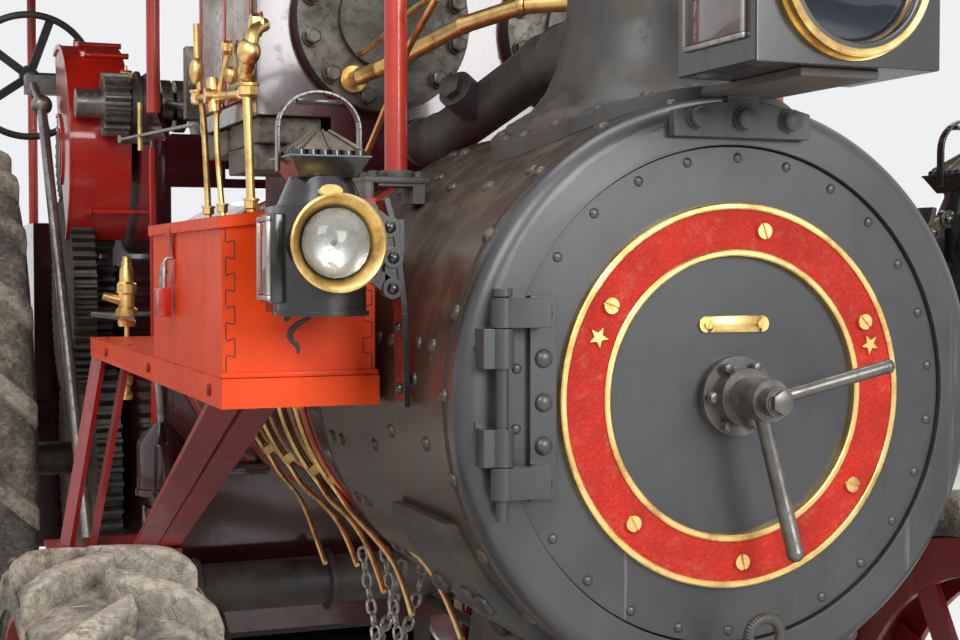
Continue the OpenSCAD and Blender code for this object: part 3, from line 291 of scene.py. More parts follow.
def weathered_drum():
    """Old black plate: tan dust on top, brown oily patina low down, pale specks, long streaks, bare edges."""
    finish, coat = new_finish("weathered drum plate")
    broad = coat.noise(3.5, 6, 0.6)
    streak = coat.noise(24, 6, 0.65, (1, 1, 0.13), 3.1)
    run = coat.noise(60, 4, 0.6, (1, 1, 0.05), 7.4).step(0.66, 0.72)
    fine = coat.noise(170, 3, 0.6, None, 1.7)
    specks = coat.noise(95, 5, 0.7, None, 5.2).step(0.66, 0.7)
    low = 1.0 - coat.along(2).step(1.42, 1.78)
    oily = low * coat.noise(7, 6, 0.65, None, 8.8).step(0.3, 0.62)
    dusty = (1.0 - low) * coat.noise(15, 7, 0.7, None, 4.4).step(0.42, 0.66)
    worn = coat.edges(0.004) * coat.noise(45, 4, 0.6, None, 2.2).step(0.42, 0.6)
    tint = broad.step(0.3, 0.7).blend((0.026, 0.02, 0.015), (0.045, 0.037, 0.028))
    tint = (streak.step(0.5, 0.7) * 0.65).blend(tint, (0.022, 0.018, 0.014))
    tint = (oily * 0.75).blend(tint, (0.07, 0.037, 0.013))
    tint = (dusty * 0.5).blend(tint, (0.16, 0.125, 0.085))
    tint = (specks * 0.5 + run * 0.3).blend(tint, (0.26, 0.24, 0.2))
    tint = (worn * 0.7).blend(tint, (0.2, 0.15, 0.1))
    rough = 0.3 + broad * 0.14 + dusty * 0.25 + oily * 0.06 + fine * 0.08
    return settle(finish, coat, tint, rough, 0.0, fine * 0.5 + specks * 0.6 + streak * 0.5, 0.4, 0.0012,
                  0.35, coat_roughness=0.22)


def door_paint():
    """Blue-grey black satin paint on the door and its ring: cloudy, rubbed, with faint pale rain runs."""
    finish, coat = new_finish("satin door paint")
    cloud = coat.noise(5, 6, 0.65)
    wiped = coat.noise(22, 5, 0.65, (1, 1, 0.35), 2.4)
    run = coat.noise(38, 4, 0.6, (1, 1, 0.04), 6.4).step(0.68, 0.74)
    fine = coat.noise(190, 3, 0.6, None, 1.2)
    specks = coat.noise(120, 5, 0.7, None, 8.2).step(0.69, 0.72)
    brown = coat.noise(9, 7, 0.7, None, 4.9).step(0.52, 0.72)
    worn = coat.edges(0.004) * coat.noise(40, 4, 0.6, None, 3.2).step(0.4, 0.6)
    tint = cloud.step(0.3, 0.7).blend((0.022, 0.0235, 0.0265), (0.036, 0.038, 0.042))
    tint = (wiped.step(0.45, 0.75) * 0.5).blend(tint, (0.014, 0.0145, 0.017))
    tint = (brown * 0.4).blend(tint, (0.05, 0.034, 0.022))
    tint = (run * 0.3 + specks * 0.5).blend(tint, (0.24, 0.24, 0.23))
    tint = (worn * 0.7).blend(tint, (0.02, 0.017, 0.015))
    rough = 0.33 + cloud * 0.14 + brown * 0.12 + fine * 0.05
    return settle(finish, coat, tint, rough, 0.0, fine * 0.4 + wiped * 0.35 + specks * 0.4, 0.28, 0.0008,
                  0.5, coat_roughness=0.3)


ring_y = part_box("door_plates")[0].y
boiler = Vector((0, 0, 1.5))
drum_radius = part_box("smokebox_shell")[1].x
shell_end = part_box("smokebox_shell")[1].y


def on_drum(angle, y, radius):
    """A point on the boiler's skin and the way out of it, for an angle in degrees from the left side."""
    way = Vector((math.cos(math.radians(angle)), 0, math.sin(math.radians(angle))))
    return boiler + way * radius + Vector((0, y, 0)), way


def on_circle(angle, radius, y, x=0.0, z=boiler.z):
    """A point of a bolt circle that faces forward, for an angle in degrees from the left side."""
    return Vector((x + radius * math.cos(math.radians(angle)), y,
                   z + radius * math.sin(math.radians(angle))))


drum_plate = weathered_drum()
door_black = door_paint()
eased("smokebox_shell", drum_plate, 0.001)
eased("smokebox_front", door_black, 0.002)
drum_rivets = bmesh.new()
for row in (0.058, shell_end - ring_y - 0.045, shell_end - ring_y - 0.1):
    for step in range(23):
        dome(drum_rivets, *on_drum(132 + step * 15.65, ring_y + row, drum_radius), 0.0125)
for step in range(9):
    for angle in (170, 10):
        dome(drum_rivets, *on_drum(angle, ring_y + 0.12 + step * 0.062, drum_radius), 0.011)
for angle, y in ((133.2, 0.384), (128.4, 0.515), (134.5, 0.212), (131.1, 0.094), (-171.4, 0.305),
                 (-167, 0.406), (-151.9, 0.35), (-171, 0.146), (176.9, 0.185)):
    dome(drum_rivets, *on_drum(angle, ring_y + y, drum_radius), 0.0115)
stand(drum_rivets, "drum_rivets", drum_plate, "engine")
sooty = worn_black("sooty iron", (0.016, 0.014, 0.012), (0.05, 0.03, 0.02), (0.09, 0.08, 0.07), 0.3, 0.62)
for node in ("tube_plate", "blast_pipe", "ashpan", "firebox_door"):
    eased(node, sooty, 0.0012)


# Front beading: the cast front ring laps over the drum in a rounded bead, caulked with a thin dark seam.
# It is iron, painted with the door, and holds the drum by hidden bolts.
bead = bmesh.new()
turned(bead, [(drum_radius - 0.002, -0.062), (drum_radius + 0.0012, -0.06), (drum_radius + 0.0012, -0.05),
              (drum_radius - 0.002, -0.048)], (0, ring_y, boiler.z), (0, -1, 0))
stand(bead, "front_ring_seam", sooty, "engine")


# Smokebox door: a round dished plate on two knuckles, with a riveted strap beside the hinge.
# Round its face is bolted a cast ring plate: a red painted, pebbled ground between two polished brass rims.
def polished_brass(name, base, tarnish, rough):
    """Yellow brass, rubbed bright, with brown tarnish in clouds and dark spots, and fine rubbing lines."""
    finish, coat = new_finish(name)
    cloud = coat.noise(18, 6, 0.65)
    spots = coat.noise(95, 5, 0.7, None, 3.3).step(0.58, 0.72)
    rubbed = coat.noise(240, 3, 0.6, (1, 0.2, 1), 6.1)
    tint = cloud.step(0.42, 0.68).blend(base, tarnish)
    tint = (spots * 0.45).blend(tint, [c * 0.35 for c in tarnish])
    return settle(finish, coat, tint, rough + cloud * 0.2 + spots * 0.25 + rubbed * 0.08, 1.0 - spots * 0.4,
                  rubbed * 0.3 + cloud * 0.3, 0.25, 0.0006)


brass = polished_brass("polished brass", (0.92, 0.64, 0.25), (0.5, 0.3, 0.1), 0.22)


def gloss_paint(name, base, dark, dirt, dirt_share, shine, grain=0.0, gloss=0.6):
    """Brush-laid gloss paint: faint brush lines, chips down to primer at the edges, dirt in scattered
    patches.
    """
    finish, coat = new_finish(name)
    cloud = coat.noise(6, 5, 0.6)
    lines = coat.noise(60, 4, 0.6, (1, 0.12, 1), 2.6)
    fine = coat.noise(210, 3, 0.6, None, 7.7)
    dirty = coat.noise(16, 7, 0.7, None, 1.1).step(0.5, 0.74)
    worn = coat.edges(0.0035) * coat.noise(38, 5, 0.7, None, 9.1).step(0.46, 0.6)
    chips = coat.noise(120, 4, 0.6, None, 5.9).step(0.7, 0.73)
    tint = cloud.step(0.3, 0.75).blend(base, dark)
    tint = (lines.step(0.5, 0.8) * 0.3).blend(tint, dark)
    tint = (dirty * dirt_share).blend(tint, dirt)
    tint = (worn * 0.75 + chips * 0.6).blend(tint, [c * 0.25 + 0.02 for c in base])
    rough = shine + cloud * 0.1 + dirty * 0.35 * dirt_share + chips * 0.3
    return settle(finish, coat, tint, rough, 0.0,
                  fine * (0.12 + grain) + lines * 0.35 - chips * 0.6 - worn * 0.4,
                  0.3, 0.0008, gloss - dirty * gloss * 0.8)


red_enamel = gloss_paint("red enamel", (0.6, 0.02, 0.009), (0.4, 0.012, 0.006), (0.1, 0.06, 0.04),
                         0.25, 0.26)


def pebbled_red():
    """Red ground of the ring plate: stippled in the casting, with dust and old polish left in its pits."""
    finish, coat = new_finish("pebbled red ground")
    pebbles = coat.cells(150)
    small = coat.cells(330, "F1", 4.0)
    cloud = coat.noise(14, 5, 0.6)
    polish = coat.noise(40, 6, 0.7, None, 3.0).step(0.5, 0.75)
    pits = (pebbles + small * 0.5).step(0.3, 0.75)
    tint = cloud.step(0.3, 0.7).blend((0.62, 0.02, 0.008), (0.42, 0.012, 0.005))
    tint = (pits * 0.4).blend(tint, (0.22, 0.02, 0.01))
    tint = (polish * pits * 0.3).blend(tint, (0.5, 0.22, 0.13))
    return settle(finish, coat, tint, 0.42 + cloud * 0.15 + pits * 0.15, 0.0, 1.0 - pebbles - small * 0.4,
                  0.8, 0.002, IOR=1.33)


eased("smokebox_door", door_black, 0.002)
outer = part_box("door_plates")[1].x
inner = outer - 0.077
face_centre = (0, ring_y, boiler.z)
forward = (0, -1, 0)
ring_ground = bmesh.new()
turned(ring_ground, [(inner + 0.004, -0.012), (inner + 0.004, -0.004), (outer - 0.004, -0.004),
                     (outer - 0.004, -0.012)], face_centre, forward)
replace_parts(stand(ring_ground, "ring_plate_ground", pebbled_red(), "door"), "door_plates")
rims = bmesh.new()
for low, high in ((inner, inner + 0.0095), (outer - 0.0095, outer)):
    turned(rims, [(low, -0.012), (low, -0.0015), (low + 0.002, 0.0), (high - 0.002, 0.0), (high, -0.0015),
                  (high, -0.012)], face_centre, forward)
stand(rims, "ring_plate_rims", brass, "door")


def slotted(solid, point, way, radius, height, turn):
    """A slotted screw: a cheese head with a groove cut across it."""
    made = bmesh.ops.create_circle(solid, cap_ends=True, segments=28, radius=radius)
    disc = [face for corner in made["verts"] for face in corner.link_faces]
    parts = list(set(disc)) + list({rim for face in disc for rim in face.edges}) + made["verts"]
    for side in (-1, 1):
        cut = bmesh.ops.bisect_plane(solid, geom=parts, plane_co=(side * radius * 0.14, 0, 0),
                                     plane_no=(1, 0, 0))
        parts = cut["geom"]
    faces = [part for part in parts if isinstance(part, bmesh.types.BMFace)]
    raised = bmesh.ops.extrude_face_region(solid, geom=faces)["geom"]
    tops = [part for part in raised if isinstance(part, bmesh.types.BMFace)]
    bmesh.ops.translate(solid, vec=(0, 0, height * 0.55),
                        verts=list({v for face in tops for v in face.verts}))
    halves = [face for face in tops if abs(face.calc_center_median().x) > radius * 0.2]
    all_corners = {v for face in tops + faces if face.is_valid for v in face.verts}
    for half in halves:
        lifted = bmesh.ops.extrude_face_region(solid, geom=[half])["geom"]
        corners = [part for part in lifted if isinstance(part, bmesh.types.BMVert)]
        bmesh.ops.translate(solid, vec=(0, 0, height * 0.45), verts=corners)
        bmesh.ops.delete(solid, geom=[half], context="FACES_ONLY") if half.is_valid else None
        all_corners.update(corners)
    bmesh.ops.transform(solid, matrix=aim(point, way) @ Matrix.Rotation(math.radians(turn), 4, "Z"),
                        verts=list(all_corners))


screws = bmesh.new()
turns = random.Random(4)
for angle in (25.5, 79.6, 146.9, 226.3, 272.3, 325.1):
    slotted(screws, on_circle(angle, 0.243, ring_y + 0.005), forward, 0.0115, 0.008, turns.uniform(0, 180))
for x in (-0.044, 0.044):
    slotted(screws, (x, ring_y + 0.007, 1.604), forward, 0.0062, 0.003, turns.uniform(0, 180))
stand(screws, "plate_screws", brass, "door")


# Two plain cast stars stand on the ring plate, and a small blank plate of brass is screwed inside the ring.
stars = bmesh.new()
for angle, tilt in ((158.3, 8), (17.1, -6)):
    made = bmesh.ops.create_circle(stars, cap_ends=True, segments=10, radius=0.017)
    for index, corner in enumerate(made["verts"]):
        corner.co *= 1.0 if index % 2 else 0.42
    flat = list({face for corner in made["verts"] for face in corner.link_faces})
    lifted = bmesh.ops.extrude_face_region(stars, geom=flat)["geom"]
    tops = [part for part in lifted if isinstance(part, bmesh.types.BMVert)]
    bmesh.ops.translate(stars, vec=(0, 0, 0.005), verts=tops)
    bmesh.ops.scale(stars, vec=(0.9, 0.9, 1), verts=tops)
    place = on_circle(angle, 0.24, ring_y + 0.0042)
    bmesh.ops.transform(stars, matrix=aim(place, forward) @ Matrix.Rotation(math.radians(tilt), 4, "Z"),
                        verts=made["verts"] + tops)
bmesh.ops.recalc_face_normals(stars, faces=stars.faces)
stand(stars, "ring_plate_stars", brass, "door")
plate = bmesh.new()
block(plate, (-0.046, ring_y + 0.0075, 1.592), (0.046, ring_y + 0.012, 1.616), 0.0006)
for x in (-0.046, 0.046):
    rod(plate, (x, ring_y + 0.012, 1.604), (x, ring_y + 0.0075, 1.604), 0.012, 28)
stand(plate, "blank_number_plate", brass, "door", edge=0.0006)
strap = bmesh.new()
for z in (1.622, 1.561, 1.5, 1.44, 1.386):
    dome(strap, (-0.306, ring_y + 0.002, z), forward, 0.0135)
for step in range(26):
    dome(strap, on_circle(6 + step * 360 / 26, 0.345, ring_y + 0.0118), forward, 0.0075, 0.5)
stand(strap, "door_rivets", door_black, "door")


# Dart: the bolt that draws the door shut, with a bolted flange, a boss, and two closing handles.
# It is turned and forged steel, dark with oil and bright where hands and tools touch it.
def bare_steel(name, base, dark, rough):
    """Bare steel: oily, with patches of brown stain and fine turning marks."""
    finish, coat = new_finish(name)
    cloud = coat.noise(14, 6, 0.65)
    stain = coat.noise(48, 6, 0.7, None, 2.9).step(0.48, 0.7)
    marks = coat.noise(320, 2, 0.5, (1, 0.15, 1), 4.2)
    tint = cloud.step(0.3, 0.7).blend(base, dark)
    tint = (stain * 0.55).blend(tint, (0.09, 0.05, 0.03))
    return settle(finish, coat, tint, rough + cloud * 0.18 + stain * 0.25 + marks * 0.05, 0.9 - stain * 0.5,
                  marks * 0.4 + stain * 0.5, 0.25, 0.0008)


oily_steel = bare_steel("oily steel", (0.2, 0.19, 0.18), (0.1, 0.095, 0.09), 0.26)
eased("door_dart", oily_steel, 0.0025)
dart_nuts = bmesh.new()
for step in range(6):
    hexagon(dart_nuts, on_circle(step * 60, 0.048, ring_y - 0.0138), forward, 0.013, 0.006)
hexagon(dart_nuts, (0, ring_y - 0.1138, boiler.z), forward, 0.03, 0.012)
stand(dart_nuts, "dart_nuts", oily_steel, "door")


# Chimney: a cast saddle with a riveted flange on the smokebox, a rolled stack above it and a cast cap.
# The fat cast exhaust pipe bolts to the saddle from behind; a thin brass blower pipe runs beside it.
cast_black = worn_black("cast black iron", (0.05, 0.049, 0.048), (0.1, 0.065, 0.04), (0.24, 0.2, 0.15), 0.1,
                        0.32)
eased("chimney_base", cast_black, 0.003)
eased("chimney", cast_black, 0.002)
eased("exhaust_pipe", cast_black, 0.0025)
eased("blower_pipe", brass, 0.001)
stack_y = (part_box("chimney")[0].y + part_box("chimney")[1].y) / 2
flange_rivets = bmesh.new()
for step in range(20):
    angle = math.radians(step * 18 + 9)
    turn = math.degrees(math.acos(0.232 * math.cos(angle) / 0.452))
    dome(flange_rivets, *on_drum(turn, stack_y + 0.232 * math.sin(angle), 0.4515), 0.011)
stand(flange_rivets, "saddle_rivets", cast_black, "engine")
pipe_nuts = bmesh.new()
for step in range(6):
    spot = on_circle(step * 60 + 30, 0.05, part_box("exhaust_pipe")[0].y - 0.001, -0.06, 2.044)
    hexagon(pipe_nuts, spot, forward, 0.016, 0.012)
rod(pipe_nuts, (-0.125, -1.56, 1.985), (-0.172, -1.585, 2.012), 0.036, 28)
hexagon(pipe_nuts, (-0.171, -1.584, 2.0115), (-0.83, -0.45, 0.33), 0.042, 0.022)
stand(pipe_nuts, "exhaust_nuts", cast_black, "engine")


def bent(name, runs, finish, body, slot=None):
    """Pipes drawn as round curves along points, with swept bends, as one mesh that rides on a body."""
    path = bpy.data.curves.new(name, "CURVE")
    path.dimensions = "3D"
    path.bevel_depth = 1.0
    path.bevel_resolution = 3
    path.resolution_u = 6
    path.use_fill_caps = True
    for points, radius in runs:
        line = path.splines.new("NURBS")
        line.points.add(len(points) - 1)
        for knot, point in zip(line.points, points):
            knot.co = (*point, 1)
            knot.radius = radius
        line.order_u = min(3, len(points))
        line.use_endpoint_u = True
    holder = bpy.data.objects.new(name + "_path", path)
    mesh = bpy.data.meshes.new_from_object(holder)
    mesh.name = name
    bpy.data.objects.remove(holder)
    bpy.data.curves.remove(path)
    for face in mesh.polygons:
        face.use_smooth = True
    mesh.materials.clear()
    mesh.materials.append(finish)
    piece = bpy.data.objects.new(name, mesh)
    bpy.context.scene.collection.objects.link(piece)
    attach(piece, body)
    return piece


# Brass fittings of the cylinders: a drain valve with a bulb and union nuts, and thin pipes to the toolbox.
# They are bent from drawn brass pipe, joined with hexagon unions, and rubbed bright by hand.
bent("brass_feed_pipes", [
    ([(-0.52, -0.96, 2.2), (-0.52, -0.96, 2.1), (-0.505, -0.97, 2.0), (-0.5, -0.975, 1.79)], 0.007),
    ([(-0.482, -1.12, 2.14), (-0.5, -1.1, 2.06), (-0.51, -1.09, 1.96), (-0.5, -1.12, 1.79)], 0.006),
    ([(-0.482, -1.3, 2.1), (-0.51, -1.36, 2.07), (-0.505, -1.37, 1.98), (-0.5, -1.37, 1.79)], 0.0085),
    ([(-0.33, -1.925, 2.112), (-0.33, -1.84, 2.075), (-0.33, -1.78, 2.05), (-0.33, -1.715, 1.997),
      (-0.34, -1.56, 1.87), (-0.37, -1.5, 1.78)], 0.006),
    ([(-0.33, -1.925, 2.112), (-0.31, -1.8, 2.13), (-0.29, -1.5, 2.1), (-0.28, -1.34, 2.1)], 0.006),
    ([(-0.475, -1.38, 2.14), (-0.5, -1.4, 2.13), (-0.51, -1.41, 2.09), (-0.51, -1.38, 2.05)], 0.013)],
    brass, "engine", "brass")
fittings = bmesh.new()
for point, way, across, height in (
        ((-0.505, -1.37, 2.03), (0, 0, -1), 0.032, 0.024), ((-0.5, -1.37, 1.815), (0, 0, -1), 0.024, 0.02),
        ((-0.5, -0.975, 1.815), (0, 0, -1), 0.022, 0.018), ((-0.5, -1.115, 1.815), (0, 0, -1), 0.02, 0.018),
        ((-0.482, -1.38, 2.14), (-1, 0, 0), 0.036, 0.022), ((-0.518, -0.96, 2.06), (0, 0, -1), 0.026, 0.03),
        ((-0.482, -1.12, 2.13), (-1, 0, 0), 0.026, 0.018)):
    hexagon(fittings, point, way, across, height)
for place, size in (((-0.51, -1.4, 2.085), (0.022, 0.022, 0.026)),
                    ((-0.508, -1.375, 2.05), (0.017, 0.017, 0.02)),
                    ((-0.52, -0.96, 2.1), (0.016, 0.016, 0.03)),
                    ((-0.5, -1.2, 2.065), (0.014, 0.014, 0.018))):
    bmesh.ops.create_uvsphere(fittings, u_segments=20, v_segments=12, radius=1,
                              matrix=Matrix.Translation(place) @ Matrix.Diagonal((*size, 1)))
rod(fittings, (-0.52, -0.93, 2.045), (-0.5, -1.28, 2.02), 0.0085)
rod(fittings, (-0.512, -1.08, 2.07), (-0.51, -1.1, 2.0), 0.013)
rod(fittings, (-0.53, -1.09, 2.035), (-0.49, -1.09, 2.035), 0.016)
stand(fittings, "brass_fittings", brass, "engine")


# Head lamp: a black sheet-iron oil lamp on a bolted bracket at the top of the door ring.
# It has a wide spun brass bezel, a domed glass tinted near black as a painted dark reflection, and a bevelled
# side glass in a pale tinned frame.
lamp_black = gloss_paint("lamp black enamel", (0.008, 0.008, 0.009), (0.014, 0.013, 0.012),
                         (0.12, 0.1, 0.08), 0.25, 0.22)
eased("headlamp_bracket", cast_black, 0.002)
bracket_bolts = bmesh.new()
for x in (-0.076, 0.0, 0.076):
    hexagon(bracket_bolts, (x, ring_y - 0.0139, 1.898), forward, 0.027, 0.018)
stand(bracket_bolts, "bracket_bolts", cast_black, "engine")


def lamp_glass(name, tint, cover):
    """Thick pressed glass with faint dust and a sharp shine."""
    finish, coat = new_finish(name)
    dusty = coat.noise(60, 5, 0.7).step(0.45, 0.8)
    return settle(finish, coat, tint, 0.05 + dusty * 0.12, 0.0, None, gloss=1.0, Alpha=cover + dusty * 0.15,
                  IOR=1.5)


glass = lamp_glass("clear lamp glass", (0.42, 0.44, 0.41), 0.28)
# The head lamp's glass is tinted near black and nearly opaque: this is a painted dark reflection.
dark_reflection_glass = lamp_glass("lamp glass with painted dark reflection", (0.012, 0.018, 0.03), 0.8)
side_glass = lamp_glass("smoked side glass", (0.16, 0.13, 0.125), 0.9)
tinned = bare_steel("tinned sheet", (0.5, 0.48, 0.44), (0.36, 0.34, 0.31), 0.3)
silver = bare_steel("silvered dish", (0.34, 0.34, 0.32), (0.2, 0.19, 0.17), 0.16)
eased("headlamp", lamp_black, 0.003)


def window(frames, panes, x, low, high, out):
    """A side window: a bevelled pane in a frame of four tinned strips, on a plane across X."""
    edge = 0.007
    for a, b in (((low[0], low[1]), (high[0], low[1] + edge)),
                 ((low[0], high[1] - edge), (high[0], high[1])),
                 ((low[0], low[1] + edge), (low[0] + edge, high[1] - edge)),
                 ((high[0] - edge, low[1] + edge), (high[0], high[1] - edge))):
        block(frames, (min(x, x + out * 0.006), a[0], a[1]), (max(x, x + out * 0.006), b[0], b[1]), 0.0012)
    block(panes, (min(x, x + out * 0.005), low[0] + edge * 1.1, low[1] + edge * 1.1),
          (max(x, x + out * 0.005), high[0] - edge * 1.1, high[1] - edge * 1.1), 0.0022)


frames = bmesh.new()
panes = bmesh.new()
for out in (-1, 1):
    window(frames, panes, out * 0.14, (ring_y - 0.25, 1.975), (ring_y - 0.094, 2.15), out)
bezel = bmesh.new()
lamp_centre = (0, ring_y - 0.272, 2.063)
turned(bezel, [(0.0905, -0.001), (0.0915, 0.008), (0.095, 0.015), (0.101, 0.0205), (0.1075, 0.0225),
               (0.1105, 0.02), (0.1105, -0.002), (0.0905, -0.001)], lamp_centre, forward)
turned(bezel, [(0.1085, -0.003), (0.1135, -0.003), (0.1135, 0.004), (0.1085, 0.004), (0.1085, -0.003)],
       lamp_centre, forward)
# The domed lens takes that near-black glass, so the dark reflection is painted into it.
dark_reflection_lens = bmesh.new()
turned(dark_reflection_lens, [(0.0005, 0.019), (0.04, 0.0175), (0.07, 0.013), (0.0912, 0.005), (0.0912, 0.002)],
       lamp_centre, forward)
stand(dark_reflection_lens, "headlamp_lens", dark_reflection_glass, "engine")


# Side lamps: black sheet-iron road lamps with a round front, a conical shoulder and a square vented cap.
# A strap handle arches over the cap; each hangs by links and pins on a strap riveted to the drum.
def flat(solid, a, b, wide, thick, side=(0, 1, 0)):
    """A flat bar between two points, its wide way along a side."""
    a, b, side = Vector(a), Vector(b), Vector(side)
    way = (b - a).normalized()
    across = (side - way * side.dot(way)).normalized()
    turn = Matrix((across, way.cross(across), way)).transposed().to_4x4()
    size = Matrix.Diagonal((wide, thick, (b - a).length, 1))
    return bmesh.ops.create_cube(solid, size=1,
                                 matrix=Matrix.Translation((a + b) / 2) @ turn @ size)["verts"]


def both_sides(solid):
    """Copies a shape to the other side of the engine."""
    made = bmesh.ops.duplicate(solid, geom=solid.verts[:] + solid.edges[:] + solid.faces[:])["geom"]
    corners = [part for part in made if isinstance(part, bmesh.types.BMVert)]
    faces = [part for part in made if isinstance(part, bmesh.types.BMFace)]
    bmesh.ops.scale(solid, vec=(-1, 1, 1), verts=corners)
    bmesh.ops.reverse_faces(solid, faces=faces)


lamp_x = -0.57
lamp_y = ring_y + 0.125
lamp_mid = lamp_y + 0.065
lamp_z = 1.622
lens_z = lamp_z + 0.098
body = bmesh.new()
rod(body, (lamp_x, lamp_mid, lamp_z), (lamp_x, lamp_mid, lamp_z + 0.152), 0.065, 64)
block(body, (lamp_x - 0.065, lamp_mid, lamp_z), (lamp_x + 0.065, lamp_y + 0.13, lamp_z + 0.152), 0.002)
rod(body, (lamp_x, lamp_mid, lamp_z - 0.004), (lamp_x, lamp_mid, lamp_z + 0.003), 0.069, 64)
rod(body, (lamp_x, lamp_y - 0.003, lens_z), (lamp_x, lamp_mid, lens_z), 0.058, 56)
block(body, (lamp_x - 0.077, lamp_mid - 0.024, lamp_z + 0.014),
      (lamp_x - 0.06, lamp_mid + 0.048, lamp_z + 0.14), 0.002)
rod(body, (lamp_x, lamp_mid, lamp_z + 0.15), (lamp_x, lamp_mid, lamp_z + 0.192), 0.063, 64, 0.045)
diagonal = math.sqrt(2)
eighth = Matrix.Rotation(math.radians(45), 4, "Z")
for low, high, foot, rise in ((0.041, 0.058, 0.19, 0.028), (0.059, 0.059, 0.2175, 0.003)):
    place = Matrix.Translation((lamp_x, lamp_mid, lamp_z + foot + rise / 2))
    bmesh.ops.create_cone(body, cap_ends=True, segments=4, radius1=low * diagonal, radius2=high * diagonal,
                          depth=rise, matrix=place @ eighth)
quarters = [Matrix.Translation((lamp_x, lamp_mid, 0)) @ Matrix.Rotation(math.pi / 2 * side, 4, "Z")
            for side in range(4)]
for turn in quarters:
    for step in range(6):
        place = turn @ Matrix.Translation((0.0475, -0.0425 + step * 0.017, lamp_z + 0.223))
        bmesh.ops.create_cone(body, cap_ends=True, segments=12, radius1=0.0088, radius2=0.0078, depth=0.01,
                              matrix=place)
for x in (-0.06, 0.06):
    flat(body, (lamp_x + x, lamp_mid + 0.007, lamp_z + 0.2), (lamp_x + x, lamp_mid + 0.007, lamp_z + 0.262),
         0.016, 0.004)
arch = [(lamp_x + 0.06 * math.cos(math.radians(a)), lamp_mid + 0.007,
         lamp_z + 0.262 + 0.052 * math.sin(math.radians(a)))
        for a in range(0, 181, 12)]
for a, b in zip(arch, arch[1:]):
    flat(body, a, b, 0.016, 0.004)
block(body, (lamp_x - 0.034, lamp_mid - 0.004, lamp_z + 0.296),
      (lamp_x + 0.034, lamp_mid + 0.018, lamp_z + 0.303), 0.001)
pins = [(0.0, 0.144), (0.032, 0.122), (0.037, 0.078), (0.036, 0.034), (0.004, 0.057)]
plate_y = lamp_y + 0.05
spots = [(lamp_x + 0.065 + away, plate_y, lamp_z + up) for away, up in pins]
for a, b in zip(spots, spots[1:]):
    flat(body, a, b, 0.009, 0.024)
for spot in spots:
    rod(body, (spot[0], plate_y - 0.008, spot[2]), (spot[0], plate_y + 0.008, spot[2]), 0.0155, 24)
    dome(body, (spot[0], plate_y - 0.008, spot[2]), forward, 0.009, 0.7)
strap = [(-0.447, 1.484), (-0.45, 1.62), (-0.464, 1.738), (-0.478, 1.785)]
for a, b in zip(strap, strap[1:]):
    flat(body, (a[0], plate_y + 0.014, a[1]), (b[0], plate_y + 0.014, b[1]), 0.042, 0.009)
for x, z in ((-0.449, 1.51), (-0.45, 1.6)):
    dome(body, (x - 0.004, plate_y + 0.014, z), (-1, 0, 0), 0.009)
flat(body, (-0.5, plate_y + 0.006, 1.73), (-0.45, plate_y + 0.006, 1.73), 0.02, 0.05)
both_sides(body)
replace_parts(stand(body, "side_lamp_bodies", lamp_black, "engine", edge=0.0008),
            "side_lamps")
caps = bmesh.new()
bmesh.ops.create_cone(caps, cap_ends=True, segments=4, radius1=0.05 * diagonal, radius2=0.012 * diagonal,
                      depth=0.028,
                      matrix=Matrix.Translation((lamp_x, lamp_mid, lamp_z + 0.242)) @ eighth)
for turn in quarters:
    for lean in (-0.6, 0.0, 0.6):
        flat(caps, turn @ Vector((0.05, lean * 0.07, lamp_z + 0.2295)),
             turn @ Vector((0.012, lean * 0.016, lamp_z + 0.2575)), 0.005, 0.003)
both_sides(caps)
weathered_tin = bare_steel("weathered tin", (0.22, 0.18, 0.14), (0.12, 0.1, 0.085), 0.45)
stand(caps, "side_lamp_caps", weathered_tin, "engine", 34, 0.0006)
for out in (-1, 1):
    window(frames, panes, out * 0.647, (lamp_mid - 0.02, lamp_z + 0.018),
           (lamp_mid + 0.044, lamp_z + 0.136), out)
stand(frames, "lamp_window_frames", tinned, "engine")
stand(panes, "lamp_side_glasses", side_glass, "engine")
dishes = bmesh.new()
lenses = bmesh.new()
for side in (-1, 1):
    middle = (side * 0.57, lamp_y - 0.003, lens_z)
    turned(bezel, [(0.048, 0.002), (0.0485, 0.005), (0.0635, 0.0295), (0.0655, 0.0305), (0.0685, 0.029),
                   (0.0685, 0.0265), (0.066, 0.025), (0.057, 0.008), (0.0575, -0.002), (0.048, 0.002)],
           middle, forward, 72)
    turned(dishes, [(0.0045, 0.0015), (0.015, 0.002), (0.03, 0.004), (0.041, 0.007), (0.0485, 0.0115)],
           middle, forward, 56)
    turned(lenses, [(0.0005, 0.033), (0.014, 0.032), (0.027, 0.0275), (0.038, 0.02), (0.0475, 0.0095),
                    (0.048, 0.006)], middle, forward, 56)
    bmesh.ops.create_cone(bezel, cap_ends=True, segments=32, radius1=1, radius2=0.86, depth=0.003,
                          matrix=aim((side * 0.57, lamp_mid - 0.0565, lamp_z + 0.171), (0, -0.92, 0.4)) @
                          Matrix.Diagonal((0.019, 0.0105, 1, 1)))
stand(bezel, "lamp_bezels", brass, "engine")
stand(dishes, "lamp_dishes", silver, "engine")
stand(lenses, "lamp_lenses", glass, "engine")


